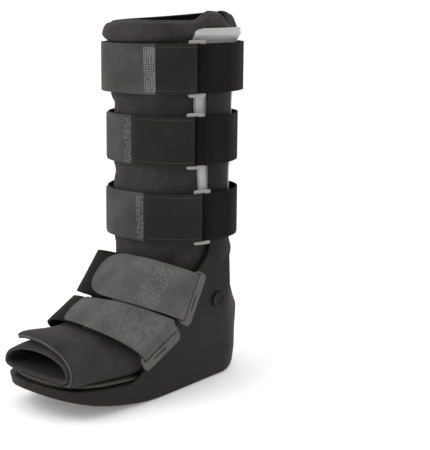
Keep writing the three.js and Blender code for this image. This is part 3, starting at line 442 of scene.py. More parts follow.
def rim(share):
    """Height of the sole's rim, rising towards the toe."""
    toe = np.clip(1 - (1 - share) * SOLE_LENGTH / TOE_ROCKER, 0, 1)
    return RIM_HEIGHT + TOE_RIM_RISE * toe**1.2


def footbed_top(y):
    """Height of the footbed's upper face at a place along the boot."""
    return rim((HEEL_Y - y) / SOLE_LENGTH) + GAP + FOOTBED_THICKNESS


def mirrored_tube(shares, half_x, half_z):
    """Sections across the boot from their right halves, mirrored to the left."""
    y = np.repeat((HEEL_Y - shares * SOLE_LENGTH)[:, None], half_x.shape[1], axis=1)
    right_half = np.stack([half_x, y, half_z], axis=-1)
    left_half = right_half[:, ::-1] * np.array([-1, 1, 1])
    return np.concatenate([right_half, left_half], axis=1)


def arc(start_x, start_z, radius_x, radius_z, first, last, count):
    """Quarter ellipse about a centre for every section, as columns of x and z."""
    turns = np.linspace(first, last, count) * math.pi / 2
    return start_x[:, None] + radius_x[:, None] * np.cos(turns), \
        start_z[:, None] + radius_z[:, None] * np.sin(turns)


def sole_mesh():
    """Section: flat underside, rounded edge, drafted side, rounded rim and flat top."""
    shares = 0.0004 + 0.9992 * (1 - np.cos(np.linspace(0, math.pi, 150))) / 2
    w, low, top = sole_half_width(shares), underside(shares), rim(shares)
    r = np.minimum(np.minimum(SOLE_EDGE_RADIUS, (top - low) / 3), w / 2)
    lip = np.minimum(1.6, w / 4)
    foot = w - np.minimum(SOLE_DRAFT, w / 4)
    flat = np.linspace(0.02, 0.9, 5)
    edge_x, edge_z = arc(foot - r, low + r, r, r, -1, -0.1, 8)
    side = np.linspace(0.15, 0.85, 5)
    side_x = foot[:, None] + (w - foot)[:, None] * side
    side_z = (low + r)[:, None] + (top - lip - low - r)[:, None] * side
    lip_x, lip_z = arc(w - lip, top - lip, lip, lip, 0, 1, 7)
    x = np.hstack([(foot - r)[:, None] * flat, edge_x, side_x, lip_x, (w - lip)[:, None] * flat[::-1]])
    z = np.hstack([np.repeat(low[:, None], 5, 1), edge_z, side_z, lip_z,
                   np.repeat(top[:, None], 5, 1)])
    return grid_mesh("sole", mirrored_tube(shares, x, z))


def footbed_mesh():
    """Section: an undercut that makes the groove above the rim, a short side with a rounded
    upper edge, and a flat top."""
    inset = SHELL_WALL + 2 * GAP
    end = inset / SOLE_LENGTH
    t = (1 - np.cos(np.linspace(0, math.pi, 120))) / 2
    shares = end + 0.0005 + (1 - 2 * end - 0.001) * t
    w = np.maximum(sole_half_width((shares - end) / (1 - 2 * end)) - inset, 2)
    base = rim(shares) + GAP
    top = base + FOOTBED_THICKNESS
    r = np.minimum(2.0, w / 3)
    edge_x, edge_z = arc(w - r, top - r, r, r, 0, 1, 7)
    flat = np.linspace(0.02, 0.95, 6)
    under = np.minimum(1.4, w / 3)
    x = np.hstack([(w - under)[:, None] * flat, w[:, None], edge_x, (w - r)[:, None] * flat[::-1]])
    z = np.hstack([np.repeat(base[:, None], 6, 1), base[:, None] + 1.3, edge_z,
                   np.repeat(top[:, None], 6, 1)])
    return grid_mesh("footbed_plate", mirrored_tube(shares, x, z))


# %% Side walls and heel cup
WALL_ALONG = [0, 0.006, 0.022, 0.045, 0.075, 0.105, 0.137, 0.161, 0.172, 0.182, 0.24, 0.294,
              0.303, 0.353, 0.428, 0.5, 0.572, 0.622, 0.65, 0.672, 0.695, 0.725, 0.76]
WALL_UP = [0.425, 0.427, 0.434, 0.455, 0.508, 0.57, 0.632, 0.677, 0.715, 0.985, 1, 0.995,
           0.94, 0.848, 0.69, 0.537, 0.385, 0.282, 0.235, 0.208, 0.19, 0.178, 0.17]


def wall_x(share, height):
    """Half width of the wall's outer face: the sole's outline below eases into the ankle's above,
    with a slight bulge in the heel cup. Beside the sole it leans in with the sole's draft and
    comes out through it at a very flat angle, so that no ledge shows."""
    rise = step(height, RIM_HEIGHT + 5, 0.76 * ANKLE_HEIGHT)
    cup = step(share, 0.09, 0.19)
    ankle = (HEEL_CUP_WIDTH + (ANKLE_WIDTH - HEEL_CUP_WIDTH) * cup) / 2 * heel_rounding(share)
    bulge = HEEL_BULGE * np.exp(-(((height - 0.46 * ANKLE_HEIGHT) / 20) ** 2))
    base = sole_half_width(share)
    level = np.clip((height - underside(share)) / (rim(share) - underside(share)), 0, 1.5)
    draft = np.minimum(SOLE_DRAFT, base / 4) * np.clip(1 - level, 0, 1)
    proud = 0.5 * step(level, 0.2, 1.1) - 0.3 - 0.8 * step(share, 0.67, 0.75)
    x = (base - draft + proud) * (1 - rise) + ankle * rise
    return x + bulge * (1 - cup) * heel_rounding(share)


def wall_mesh():
    """Columns run from the near front round the heel to the far front. Each is carried up its
    outer face, over a rounded edge and down its inner face."""
    half = np.concatenate([
        np.linspace(0.76, 0.31, 76), np.linspace(0.304, 0.29, 8), np.linspace(0.28, 0.19, 12),
        np.linspace(0.184, 0.168, 10), np.linspace(0.16, 0.012, 50),
        0.012 * (1 - np.linspace(0.05, 1, 14)) ** 2,
    ])
    shares = np.concatenate([half, half[-2::-1]])
    side = np.concatenate([np.ones(len(half)), -np.ones(len(half) - 1)])
    top = ANKLE_HEIGHT * curve_through(WALL_ALONG, WALL_UP, shares)
    foot = (underside(shares) + SOLE_EDGE_RADIUS)[:, None]
    edge = SHELL_WALL / 2
    levels = np.linspace(0, 1, 26) ** 0.9
    over = np.linspace(0, math.pi, 9)[1:-1]
    z = np.hstack([
        foot + ((top - edge)[:, None] - foot) * levels,
        (top - edge)[:, None] + edge * np.sin(over),
        foot + ((top - edge)[:, None] - foot) * levels[::-1],
    ])
    inset = np.concatenate([np.zeros(26), edge * (1 - np.cos(over)), np.full(26, SHELL_WALL)])
    s = shares[:, None]
    small = 0.001
    x = wall_x(s, z)
    ahead, behind = wall_x(s + small, z), wall_x(np.maximum(s - small, 0), z)
    run = (s + small - np.maximum(s - small, 0)) * SOLE_LENGTH
    normal = unit(np.stack([run + 0 * z, ahead * 0 + (behind - ahead)], axis=-1))
    normal = np.where((s <= 0)[..., None], np.array([0.0, -1.0]), normal)
    outer_x = side[:, None] * (x - inset * normal[..., 0])
    y = HEEL_Y - s * SOLE_LENGTH + inset * normal[..., 1]
    return grid_mesh("wall", np.stack([outer_x, y, z], axis=-1))


# %% Uprights
UPRIGHT_UP = [0.33, 0.365, 0.4, 0.435, 0.47, 0.52, 0.62, 0.72, 0.83, 0.95, 0.985, 1]
UPRIGHT_FRONT = [0.16, 0.22, 0.24, 0.25, 0.265, 0.28, 0.3, 0.36, 0.4, 0.42, 0.34, 0.2]
UPRIGHT_REAR = [0.58, 0.64, 0.69, 0.57, 0.52, 0.5, 0.49, 0.54, 0.58, 0.58, 0.5, 0.36]
UPRIGHT_LEAN = [0, 0.2, 0.7, 1, 1, 1, 1, 1, 1, 1, 1, 1]


def upright_mesh(side):
    """Section: a flat inner face, a broad outer face and a slanting facet on each side of it,
    with each corner cut twice so that it shades as a small radius."""
    share = np.concatenate([np.linspace(0.33, 0.97, 90), np.linspace(0.973, 1, 12)])
    front = LEG_Y - UPRIGHT_WIDTH * curve_through(UPRIGHT_UP, UPRIGHT_FRONT, share)
    rear = LEG_Y + UPRIGHT_WIDTH * curve_through(UPRIGHT_UP, UPRIGHT_REAR, share)
    lean = curve_through(UPRIGHT_UP, UPRIGHT_LEAN, share)
    out = ANKLE_WIDTH / 2 - 0.6 + (UPRIGHT_OUTER - ANKLE_WIDTH / 2 + 0.6) * lean
    inner = (out - SHELL_WALL + 1) * (1 - lean) + UPRIGHT_INNER * lean
    front_facet, rear_facet = 0.4 * (rear - front), 0.34 * (rear - front)
    edge, chamfer = 0.7, 1.8
    x = np.stack([inner, inner + edge, out - chamfer - edge, out - chamfer, out - 0.3, out,
                  out, out - 0.3, out - chamfer, out - chamfer - edge, inner + edge, inner], 1)
    y = np.stack([front + edge, front, front, front + edge, front + front_facet - 1,
                  front + front_facet + 1, rear - rear_facet - 1, rear - rear_facet + 1,
                  rear - edge, rear, rear, rear - edge], 1)
    z = np.repeat((share * UPRIGHT_TOP)[:, None], 12, 1)
    return grid_mesh("upright", np.stack([side * x, y, z], axis=-1))


# %% Ring bosses and the whole shell
FOOT_STRAPS = {
    "ankle": dict(ring=0.22, ring_up=0.752, tilt=62, top=0.335, top_up=1.022, low=0.53,
                  low_up=0.745, square=2.4, tab_end=109, corner=24, under=40, flare=0),
    "instep": dict(ring=0.4475, ring_up=0.45, tilt=26.6, top=0.572, top_up=0.735, low=0.735,
                   low_up=0.6, square=2.0, tab_end=105, corner=8, under=40, flare=0.13),
}


def ring_point(strap, side, u, v, x):
    """Point in a foot ring's plane: u runs forward along the strap, v down along the ring."""
    tilt = math.radians(strap["tilt"])
    y = LEG_Y - strap["ring"] * FOOT_REACH - u * math.sin(tilt) - v * math.cos(tilt)
    z = strap["ring_up"] * INSTEP_HEIGHT + u * math.cos(tilt) - v * math.sin(tilt)
    return np.stack(np.broadcast_arrays(side * np.asarray(x, float), y, z), axis=-1)


def boss_mesh(strap, side):
    """Low round boss behind a foot ring's back bar: a disc with a rounded rim."""
    turns = np.linspace(0, 2 * math.pi, 24, endpoint=False)
    out = SIDE_RING_SPREAD / 2 - FOLD_GAP
    radius = np.array([4.0, 4.0, 3.6, 3.0])[:, None]
    x = np.array([out - 6.5, out - 0.5, out - 0.1, out])[:, None] + 0 * turns
    return grid_mesh("boss", ring_point(
        strap, side, -7.5 + radius * np.cos(turns), -7.65 + radius * np.sin(turns), x))


shell_parts = [sole_mesh(), wall_mesh(), upright_mesh(1), upright_mesh(-1)]
shell_parts += [boss_mesh(strap, side) for strap in FOOT_STRAPS.values() for side in (1, -1)]
piece("moulded_shell", joined("moulded_shell", shell_parts), shell_plastic, "shell_plastic", "shell")
piece("footbed_plate", footbed_mesh(), footbed_plastic, "footbed_plastic", "footbed")

# %% [markdown]
# ## The liner
# The liner is a tube of cloth over foam, open at the top and at the toes. Its sections are
# superellipses: level ones up the leg, slanting ones down the instep. Both faces and the two
# rolled ends are one closed grid, so the foam's thickness shows at the rim and at the toes.

# %% Liner sections
LEG_ROWS = np.array([
    # up, front, back, side, lift
    (1.0, 0.96, 0.97, 0.95, 1), (0.997, 1.02, 1.015, 1.02, 1), (0.984, 1.075, 1.05, 1.075, 1),
    (0.967, 1.1, 1.07, 1.095, 0.8), (0.952, 1.08, 1.055, 1.05, 0.5),
    (0.938, 1.02, 1.03, 1.005, 0.2), (0.926, 0.99, 1.015, 1.0, 0), (0.867, 0.99, 1.0, 1.0, 0),
    (0.796, 0.955, 0.99, 1.0, 0), (0.771, 0.885, 0.965, 0.99, 0), (0.748, 0.88, 0.96, 0.99, 0),
    (0.678, 0.885, 0.96, 1.0, 0), (0.609, 0.88, 0.93, 1.0, 0), (0.582, 0.858, 0.9, 0.99, 0),
    (0.544, 0.89, 0.88, 1.0, 0), (0.476, 0.905, 0.87, 1.0, 0), (0.408, 0.895, 0.88, 0.995, 0),
    (0.381, 0.87, 0.92, 0.98, 0),
])
FOOT_ROWS = np.array([
    # ridge, ridge_up, sole, sole_up, side, waist
    (0.325, 1.0, -0.335, 0.638, 1.09, 0.5), (0.36, 0.935, -0.338, 0.472, 1.06, 0.5),
    (0.405, 0.871, -0.333, 0.329, 1.02, 0.48), (0.45, 0.809, -0.315, 0.185, 1.0, 0.46),
    (0.495, 0.748, -0.275, 0.077, 1.0, 0.44), (0.535, 0.698, -0.2, 0.018, 1.01, 0.42),
    (0.585, 0.64, -0.05, 0.004, 1.02, 0.4), (0.64, 0.586, 0.135, 0.004, 1.02, 0.38),
    (0.705, 0.543, 0.375, 0.004, 1.01, 0.36), (0.785, 0.529, 0.6, 0.004, 1.0, 0.34),
    (0.865, 0.522, 0.775, 0.004, 0.99, 0.33), (0.925, 0.511, 0.885, 0.004, 0.99, 0.33),
    (0.97, 0.489, 0.99, 0.004, 0.98, 0.33),
])
LEG_SQUARE, FOOT_TOP_SQUARE, FOOT_SOLE_SQUARE = 2.3, 2.1, 3.6
LEG_COUNT, PLACES = len(LEG_ROWS), len(LEG_ROWS) + len(FOOT_ROWS)


def section_columns():
    """Table of the liner's sections: y and z of the front or upper point and of the back or
    lower one, half width, waist, lift, and the squareness of the two halves."""
    level, front, back_share, side, lift = LEG_ROWS.T
    zero = 0 * level
    leg = [LEG_Y - front * LEG_FRONT, level * LINER_HEIGHT - lift * RIM_BACK_RISE,
           LEG_Y + back_share * LEG_BACK, level * LINER_HEIGHT + lift * RIM_BACK_RISE,
           side * LEG_SIDE, zero + 0.5, lift, zero + LEG_SQUARE, zero + LEG_SQUARE]
    ridge, ridge_up, sole, sole_up, side, waist = FOOT_ROWS.T
    sole_y = LEG_Y - sole * FOOT_REACH
    blend = np.clip(np.arange(len(ridge)) / 6, 0, 1)
    foot = [LEG_Y - ridge * FOOT_REACH, ridge_up * INSTEP_HEIGHT, sole_y,
            footbed_top(sole_y) + sole_up * INSTEP_HEIGHT, side * FOOT_SIDE, waist, 0 * waist,
            LEG_SQUARE + (FOOT_TOP_SQUARE - LEG_SQUARE) * blend,
            LEG_SQUARE + (FOOT_SOLE_SQUARE - LEG_SQUARE) * blend]
    return np.hstack([np.array(leg), np.array(foot)])


COLUMNS = section_columns()


def rim_drop(turn):
    """How far the rim hangs at a turn, in millimetres: it is cut lower round the front, flops
    outwards and down behind the near pad, and dips a little at the back seam."""
    degrees = np.degrees(np.mod(turn, 2 * math.pi))
    return curve_through(
        [0, 6, 14, 45, 90, 130, 180, 230, 262, 270, 279, 292, 303, 318, 332, 343, 352, 360],
        [1, 5, 9.5, 7.5, 3, 1.5, 0, 0, 0, 2.2, 0, 2, 8, 17, 19, 11, 2, 1], degrees)


def liner_point(place, turn, out):
    """Superellipse point of the section at a place: half width times a power of the cosine
    across, the reach to the upper or lower point times a power of the sine."""
    place, turn, out = np.broadcast_arrays(np.asarray(place, float), turn, out)
    at = np.arange(PLACES)
    top_y, top_z, low_y, low_z, side, waist, lift, top_sq, low_sq = [
        curve_through(at, column, place) for column in COLUMNS]
    across, rise = np.cos(turn), np.sin(turn)
    exponent = 2 / np.where(rise > 0, top_sq, low_sq)
    centre_y, centre_z = low_y + waist * (top_y - low_y), low_z + waist * (top_z - low_z)
    reach_y = np.where(rise > 0, top_y, low_y) - centre_y
    reach_z = np.where(rise > 0, top_z, low_z) - centre_z
    length = np.hypot(reach_y, reach_z)
    scale = (length + out) / length * np.abs(rise) ** exponent
    x = (side + out) * power(across, exponent)
    tilt = lift * (RIM_TILT * x / side - rim_drop(turn))
    return np.stack([x, centre_y + scale * reach_y, centre_z + scale * reach_z + tilt], axis=-1)


def even_turns(count, squareness):
    """Turns spaced so that the points of a superellipse lie about evenly round it."""
    t = np.linspace(0, 2 * math.pi, 4001)
    x, y = power(np.cos(t), 2 / squareness), power(np.sin(t), 2 / squareness)
    run = np.concatenate([[0], np.cumsum(np.hypot(np.diff(x), np.diff(y)))])
    return np.interp(np.linspace(0, run[-1], count, endpoint=False), run, t)


def soft_folds(points, place, turn):
    """Shallow folds: low waves in height above and below each strap, strongest at the front, and
    slanting creases on the instep."""
    z, x = points[..., 2], points[..., 0]
    front = np.clip(np.sin(turn), 0, 1)
    wave = 0.0
    for level, size in ((376, 0.5), (309, 0.8), (301, 0.6), (236, 0.7), (228, 0.5), (155, 0.8)):
        bend = level + 2.5 * np.sin(x / 17 + level)
        wave = wave + size * np.exp(-(((z - bend) / 2.6) ** 2)) * np.sin(x / 23 + level / 3)
    return wave * (0.4 + 0.6 * front)


# %% Liner
LINER_ROWS, ROLL_ROWS, LINER_COLUMNS = 164, 8, 224


def liner_mesh():
    """Outer face from the toes to the rim, over the rolled rim, down the inner face and round
    the toe edge, closed both ways."""
    turns = even_turns(LINER_COLUMNS, 2.6)[None, :]
    down = np.concatenate([np.linspace(PLACES - 1, 7, 120), np.linspace(6.9, 0.15, 44)])
    rows, outs = [down], [np.zeros(len(down))]
    roll = np.linspace(0, math.pi, ROLL_ROWS + 2)[1:-1]
    rows.append(0 * roll), outs.append(-FOAM / 2 * (1 - np.cos(roll)))
    rows.append(down[::-1]), outs.append(np.full(len(down), -float(FOAM)))
    rows.append(0 * roll + PLACES - 1), outs.append(-FOAM / 2 * (1 + np.cos(roll)))
    place, out = np.concatenate(rows)[:, None], np.concatenate(outs)[:, None]
    out = out * (1 - 0.35 * step(place, PLACES - 4, PLACES - 1))
    points = liner_point(place, turns, out)
    bulge = np.concatenate([0 * down, 1.6 * np.sin(roll), 0 * down, 0 * roll])[:, None]
    points[..., 2] += bulge
    tip = np.concatenate([0 * down, 0 * roll, 0 * down, 1.8 * np.sin(roll)])[:, None]
    points[..., 1] -= tip
    folds = soft_folds(points, place, turns)
    centre = np.array([0.0, LEG_Y])
    outward = unit(points[..., :2] - centre)
    points[..., :2] += (folds * (place < 19))[..., None] * outward
    return grid_mesh("padded_liner", points, along=True)


padded_mesh = liner_mesh()
padded_mesh.materials.append(liner_cloth)
padded_mesh.materials.append(inside_shade_cloth)
# The inner face lies between the middle of the rim's roll and the start of the toes' roll.
# It takes a darker copy of the liner cloth, which paints the shade inside the tube.
row = np.arange(len(padded_mesh.polygons)) // LINER_COLUMNS
painted_shade_rows = (row > LINER_ROWS + ROLL_ROWS // 2 - 1) & (row < 2 * LINER_ROWS + ROLL_ROWS - 2)
padded_mesh.polygons.foreach_set("material_index", painted_shade_rows.astype(np.int32))
liner = piece("padded_liner", padded_mesh, liner_cloth, "liner_fabric", "liner")

# %% [markdown]
# The outer flap is a second padded sheet. It starts low on the near side of the foot, crosses
# the ridge and ends free on the far side, where it stands off the liner at the toes.


# %% Outer flap
def flap_mesh():
    """Two liner surfaces, one a clearance off the liner and one a flap's thickness further, with
    a rounded edge between them all the way round."""
    start, end = LEG_COUNT + 6, PLACES - 1
    far = math.radians(124)
    share = np.concatenate([np.linspace(0, 0.9, 60), np.linspace(0.91, 1, 14)])
    place = (start + (end - start) * share)[:, None]
    index = 12 * share[:, None]
    to_toe = step(index, 1, 12)
    near = np.radians(40 - 80 * step(index, 1, 7))
    across = np.linspace(0, 1, 110)
    roll = np.linspace(0, math.pi, 8)[1:-1]
    t = np.concatenate([across, 1 + 0 * roll, across[::-1], 0 * roll])[None, :]
    half = FLAP_THICKNESS / 2
    off = np.concatenate([0 * across, half * (1 - np.cos(roll)), 0 * across + FLAP_THICKNESS,
                          half * (1 + np.cos(roll))])[None, :]
    turn = near + (far - near) * t
    over = step(turn, 0, math.pi / 2)
    free = step(turn, math.pi / 3, far)
    points = liner_point(place, turn, PAD_GAP + off + FLAP_LIFT * to_toe * over)
    points[..., 2] += FLAP_CURL * to_toe * free
    points[..., 2] = np.maximum(points[..., 2], footbed_top(points[..., 1]) + GAP + 0.1 * off)
    return grid_mesh("outer_flap", points)


flap = piece("outer_flap", flap_mesh(), liner_cloth, "liner_fabric", "toe_flap")

# %% [markdown]
# ## The upright pads
# A pad is a thin moulded plate between the liner and the upright, which widens to a rounded tab.

# %% Pads
PAD_UP = [0, 0.02, 0.1, 0.28, 0.45, 0.63, 0.78, 0.9, 0.945, 0.97, 0.99, 1]
PAD_FRONT = [0.12, 0.2, 0.25, 0.27, 0.3, 0.335, 0.35, 0.38, 0.405, 0.405, 0.37, 0.26]
PAD_REAR = [0.22, 0.32, 0.36, 0.385, 0.41, 0.435, 0.46, 0.53, 0.575, 0.595, 0.58, 0.54]


def leg_half_width(height, behind):
    """Half width of the liner's leg at a height and a distance behind its axis: the widest of
    the three heights that the rim's tilt brings there."""
    level, front, back_share, side, lift = LEG_ROWS[2:].T
    spread = np.interp(-(height + RIM_TILT) / LINER_HEIGHT, -level, lift)
    widths = []
    for share in (-1, 0, 1):
        at = -(height + share * spread * (RIM_TILT + RIM_BACK_RISE)) / LINER_HEIGHT
        reach = np.where(behind < 0, LEG_FRONT * np.interp(at, -level, front),
                         LEG_BACK * np.interp(at, -level, back_share))
        away = np.minimum(np.abs(behind) / reach, 1)
        width = LEG_SIDE * np.interp(at, -level, side)
        widths.append(width * (1 - away**LEG_SQUARE) ** (1 / LEG_SQUARE))
    return np.max(widths, axis=0)


def pad_mesh(side):
    """Outer and inner face off the liner, a rounded edge round both, rows up the pad."""
    level = np.concatenate([np.linspace(0, 0.05, 8), np.linspace(0.07, 0.93, 70),
                            np.linspace(0.94, 1, 18)])
    z = (PAD_BOTTOM + (PAD_TOP - PAD_BOTTOM) * level)[:, None]
    front = -PAD_WIDTH * curve_through(PAD_UP, PAD_FRONT, level)[:, None]
    rear = PAD_WIDTH * curve_through(PAD_UP, PAD_REAR, level)[:, None]
    across = np.linspace(0, 1, 40)
    roll = np.linspace(0, math.pi, 7)[1:-1]
    t = np.concatenate([across, 1 + 0 * roll, across[::-1], 0 * roll])[None, :]
    half = PAD_THICKNESS / 2
    off = np.concatenate([0 * across, half * (1 - np.cos(roll)), 0 * across + PAD_THICKNESS,
                          half * (1 + np.cos(roll))])[None, :]
    behind = front + (rear - front) * t
    x = leg_half_width(z, behind) + PAD_GAP + off
    return grid_mesh("pad", np.stack([side * x, LEG_Y + behind, z + 0 * x], axis=-1))


piece("near_pad", pad_mesh(1), pad_plastic, "pad_plastic", "upright_pad_near")
piece("far_pad", pad_mesh(-1), pad_plastic, "pad_plastic", "upright_pad_far")

# %% [markdown]
# ## The straps
# A strap is a profile carried along a path. Each station has a lower and an upper edge point. The
# profile is a flat band with rounded selvedges, and it always grows away from what it wraps. Its
# UV map is in millimetres: along the strap, and across it.


# %% Bands
def smoothed(points, rounds=2):
    """Corner cutting: each corner is replaced by points a quarter in from it on both sides."""
    for _ in range(rounds):
        a, b = points[:-1], points[1:]
        cut = np.stack([0.75 * a + 0.25 * b, 0.25 * a + 0.75 * b], axis=1)
        points = np.concatenate([points[:1], cut.reshape(-1, *points.shape[1:]), points[-1:]])
    return points


def spaced(points, distance):
    """Points about evenly far apart along a line of any size of rows."""
    middle = points.reshape(len(points), -1, 3).mean(axis=1)
    run = np.concatenate([[0], np.cumsum(np.linalg.norm(np.diff(middle, axis=0), axis=1))])
    even = np.linspace(0, run[-1], max(int(run[-1] / distance), 2) + 1)
    flat = points.reshape(len(points), -1)
    return np.stack([np.interp(even, run, c) for c in flat.T], 1).reshape(-1, *points.shape[1:])


def band_frame(lines):
    """Middle, half width vector, outward unit vector and run of each station of a band."""
    low, high = lines[:, 0], lines[:, 1]
    middle, across = (low + high) / 2, (high - low) / 2
    forward = np.gradient(middle, axis=0)
    outward = unit(np.cross(across, forward))
    run = np.concatenate([[0], np.cumsum(np.linalg.norm(np.diff(middle, axis=0), axis=1))])
    return middle, across, outward, run


def band_mesh(name, lines, thickness, hem=0.0, wave=0.0):
    """Profile: inner face, rounded selvedge, outer face, rounded selvedge. The outer face has a
    shallow channel beside each selvedge where it is hemmed, and the selvedges wander slightly."""
    middle, across, outward, run = band_frame(lines)
    half = np.linalg.norm(across, axis=1)
    flat = np.linspace(-1, 1, 31)
    roll = np.linspace(-math.pi / 2, math.pi / 2, 7)[1:-1]
    edge = abs(thickness) / 2
    a = np.concatenate([flat, 1 + 0 * roll, flat[::-1], -1 + 0 * roll])
    bulge = np.concatenate([0 * flat, edge * np.cos(roll), 0 * flat, -edge * np.cos(roll)])
    b = np.concatenate([0 * flat, edge * (1 + np.sin(roll)), 0 * flat + 2 * edge,
                        edge * (1 - np.sin(roll))])
    reach = a[None, :] * (half - edge)[:, None] + bulge
    channel = hem * np.exp(-(((half[:, None] - np.abs(reach) - 3.2) / 0.8) ** 2))
    lift = (b[None, :] - channel * (b > 1.5 * edge)) * np.sign(thickness)
    wander = wave * (np.sin(run / 9.3) + 0.6 * np.sin(run / 4.1 + 1))[:, None]
    reach = reach + wander * np.abs(a)[None, :] ** 3 * np.sign(a)[None, :] * 0.6
    points = middle[:, None] + reach[..., None] * unit(across)[:, None] \
        + lift[..., None] * outward[:, None]
    v = np.concatenate([reach[0], reach[0, :1]])
    uv = np.stack(np.meshgrid(run, v, indexing="ij"), axis=-1)
    return grid_mesh(name, points, uv=uv)


# %% Calf straps
CALF_STRAPS = {
    "top": dict(up=0.8885, ring=22, seam=57.5, end=150, back=2.4),
    "middle": dict(up=0.535, ring=25.5, seam=86, end=134, back=2.0),
    "lower": dict(up=0.153, ring=18, seam=73, end=132, back=2.3),
}
RING_IN = WEBBING + FOLD_GAP
RING_OUT = RING_IN + RING_THICKNESS
FOLD_OUT = RING_OUT + FOLD_GAP
RING_HALF = RING_BAR + RING_SLOT / 2
LOOP_REACH = RING_HALF - 1
RING_TURN, LOOP_TURN, CORNER_TURN = 11, 18, 9


def calf_point(strap, degrees, out):
    """Superellipse round the uprights and the liner, seen from above: 0 is the near side, 90 the
    front, 180 the far side and 270 the back. Behind the leg's axis it first runs straight."""
    height = ANKLE_HEIGHT + (UPRIGHT_TOP - ANKLE_HEIGHT) * strap["up"]
    level, front, back_share = LEG_ROWS[2:, 0], LEG_ROWS[2:, 1], LEG_ROWS[2:, 2]
    heights = -(height + np.array([-0.5, 0, 0.5]) * STRAP_WIDTH) / LINER_HEIGHT
    front_reach = LEG_FRONT * np.interp(heights, -level, front).max()
    back_reach = LEG_BACK * np.interp(heights, -level, back_share).max()
    turn = np.radians(degrees)
    forward = np.sin(turn)
    depth = np.where(forward > 0, front_reach, back_reach) + GAP + out
    exponent = 2 / np.where(forward > 0, LEG_SQUARE, strap["back"])
    run = np.where(forward > 0, 0, STRAP_RUN)
    x = (UPRIGHT_OUTER + GAP + out) * power(np.cos(turn), exponent)
    y = LEG_Y - np.sign(forward) * (run + (depth - run) * np.abs(forward) ** exponent)
    return np.stack([x, y, height + 0 * x], axis=-1)


def ring_frame(strap):
    """Centre, direction to the front and direction outwards of a calf ring."""
    ends = calf_point(strap, strap["ring"] + np.array([-2, 0, 2]), 0)
    forward = unit(ends[2] - ends[0])
    return ends[1], forward, np.array([-forward[1], forward[0], 0])


def fold_route(bar, ring_in, ring_out, reach):
    """Fold round a ring's bar from below it to above it, as pairs along and off the ring."""
    off = FOLD_GAP + 0.25
    return np.array([
        (bar + 0.25, ring_in - FOLD_GAP), (bar - off + 0.1, ring_in - 0.05),
        (bar - off, (ring_in + ring_out) / 2), (bar - off + 0.1, ring_out + 0.05),
        (bar + 0.25, ring_out + FOLD_GAP), (reach, ring_out + FOLD_GAP)])


def upright_lines(points, half):
    """Lower and upper edge points of a band round the leg."""
    half = np.broadcast_to(np.asarray(half, float), len(points))[:, None]
    rise = np.array([0, 0, 1.0]) * half
    return np.stack([points - rise, points + rise], axis=1)


def on_ring(strap, pairs):
    """Points from pairs along and off a ring."""
    centre, forward, off = ring_frame(strap)
    return centre + np.asarray(pairs) @ np.stack([forward, off])


def calf_strap_lines(strap):
    """From the near side round the back and the front to the ring, through it and back."""
    start = on_ring(strap, [(-LOOP_REACH - 0.5, FOLD_OUT + WEBBING)])
    turns = np.linspace(strap["ring"] - RING_TURN, strap["ring"] + RING_TURN - 360, 150)
    raised = np.clip(1 - np.arange(150) / 15, 0, 1) * FOLD_OUT
    wrap = calf_point(strap, turns, WEBBING + raised)
    fold = on_ring(strap, fold_route(RING_SLOT / 2, RING_IN, RING_OUT, RING_HALF))
    settle = step(np.arange(24), 0, 11)
    outs = (FOLD_OUT + STRAP_LAP) * (1 - settle) + (WEBBING + FOLD_GAP) * settle
    lap = calf_point(strap, np.linspace(strap["ring"] + RING_TURN + 1, strap["seam"], 24), outs)
    route = spaced(smoothed(np.concatenate([start, wrap, fold, lap])), 2.0)
    return upright_lines(route, STRAP_WIDTH / 2)


def calf_tab_lines(strap):
    """Grey tab from the seam to its free end with round corners."""
    corner = strap["end"] - CORNER_TURN
    turns = np.concatenate([np.linspace(strap["seam"] + 0.4, corner, 60),
                            np.linspace(corner, strap["end"], 16)[1:]])
    into = np.clip((turns - corner) / CORNER_TURN, 0, 1)
    half = STRAP_WIDTH / 2 - 10 * (1 - np.sqrt(1 - 0.96 * into**2))
    return upright_lines(calf_point(strap, turns, WEBBING + FOLD_GAP), half)


def calf_loop_lines(strap):
    """Short loop of webbing round the ring's back bar."""
    under = calf_point(strap, strap["ring"] - np.linspace(LOOP_TURN, RING_TURN, 4), WEBBING)
    fold = on_ring(strap, fold_route(RING_SLOT / 2, RING_IN, RING_OUT, LOOP_REACH) * [-1, 1])
    route = spaced(smoothed(np.concatenate([under, fold])), 1.0)
    return upright_lines(route, STRAP_WIDTH / 2 - 0.5)


BANDS = {}
# The last stations of a calf strap are its hook panel. The rest is plain webbing in a darker
# colour, which paints the shade on the strap's near side.
PANEL_STATIONS = 34
for name, strap in CALF_STRAPS.items():
    strap_lines = calf_strap_lines(strap)
    tab_lines = calf_tab_lines(strap)
    loop_lines = calf_loop_lines(strap)
    BANDS[name] = strap_lines
    BANDS[name + "_tab"] = tab_lines
    strap_mesh = band_mesh(name, strap_lines, WEBBING, 0.3, 0.12)
    strap_mesh.materials.append(hook_webbing)
    strap_mesh.materials.append(shade_darkened_webbing)
    stations = np.arange(len(strap_mesh.polygons)) * len(strap_lines) / len(strap_mesh.polygons)
    strap_mesh.polygons.foreach_set(
        "material_index", (stations < len(strap_lines) - PANEL_STATIONS).astype(np.int32))
    piece(name + "_calf_strap", strap_mesh, hook_webbing, "strap_dark", name + "_strap")
    piece(name + "_calf_tab", band_mesh(name, tab_lines, WEBBING, 0.1, 0.15), grey_webbing,
          "tab_grey", name + "_tab")
    # The loop takes the darkened webbing too, so it carries the same painted shade.
    piece(name + "_webbing_loop", band_mesh(name, loop_lines, -WEBBING), shade_darkened_webbing,
          "strap_dark", name + "_ring_loop")


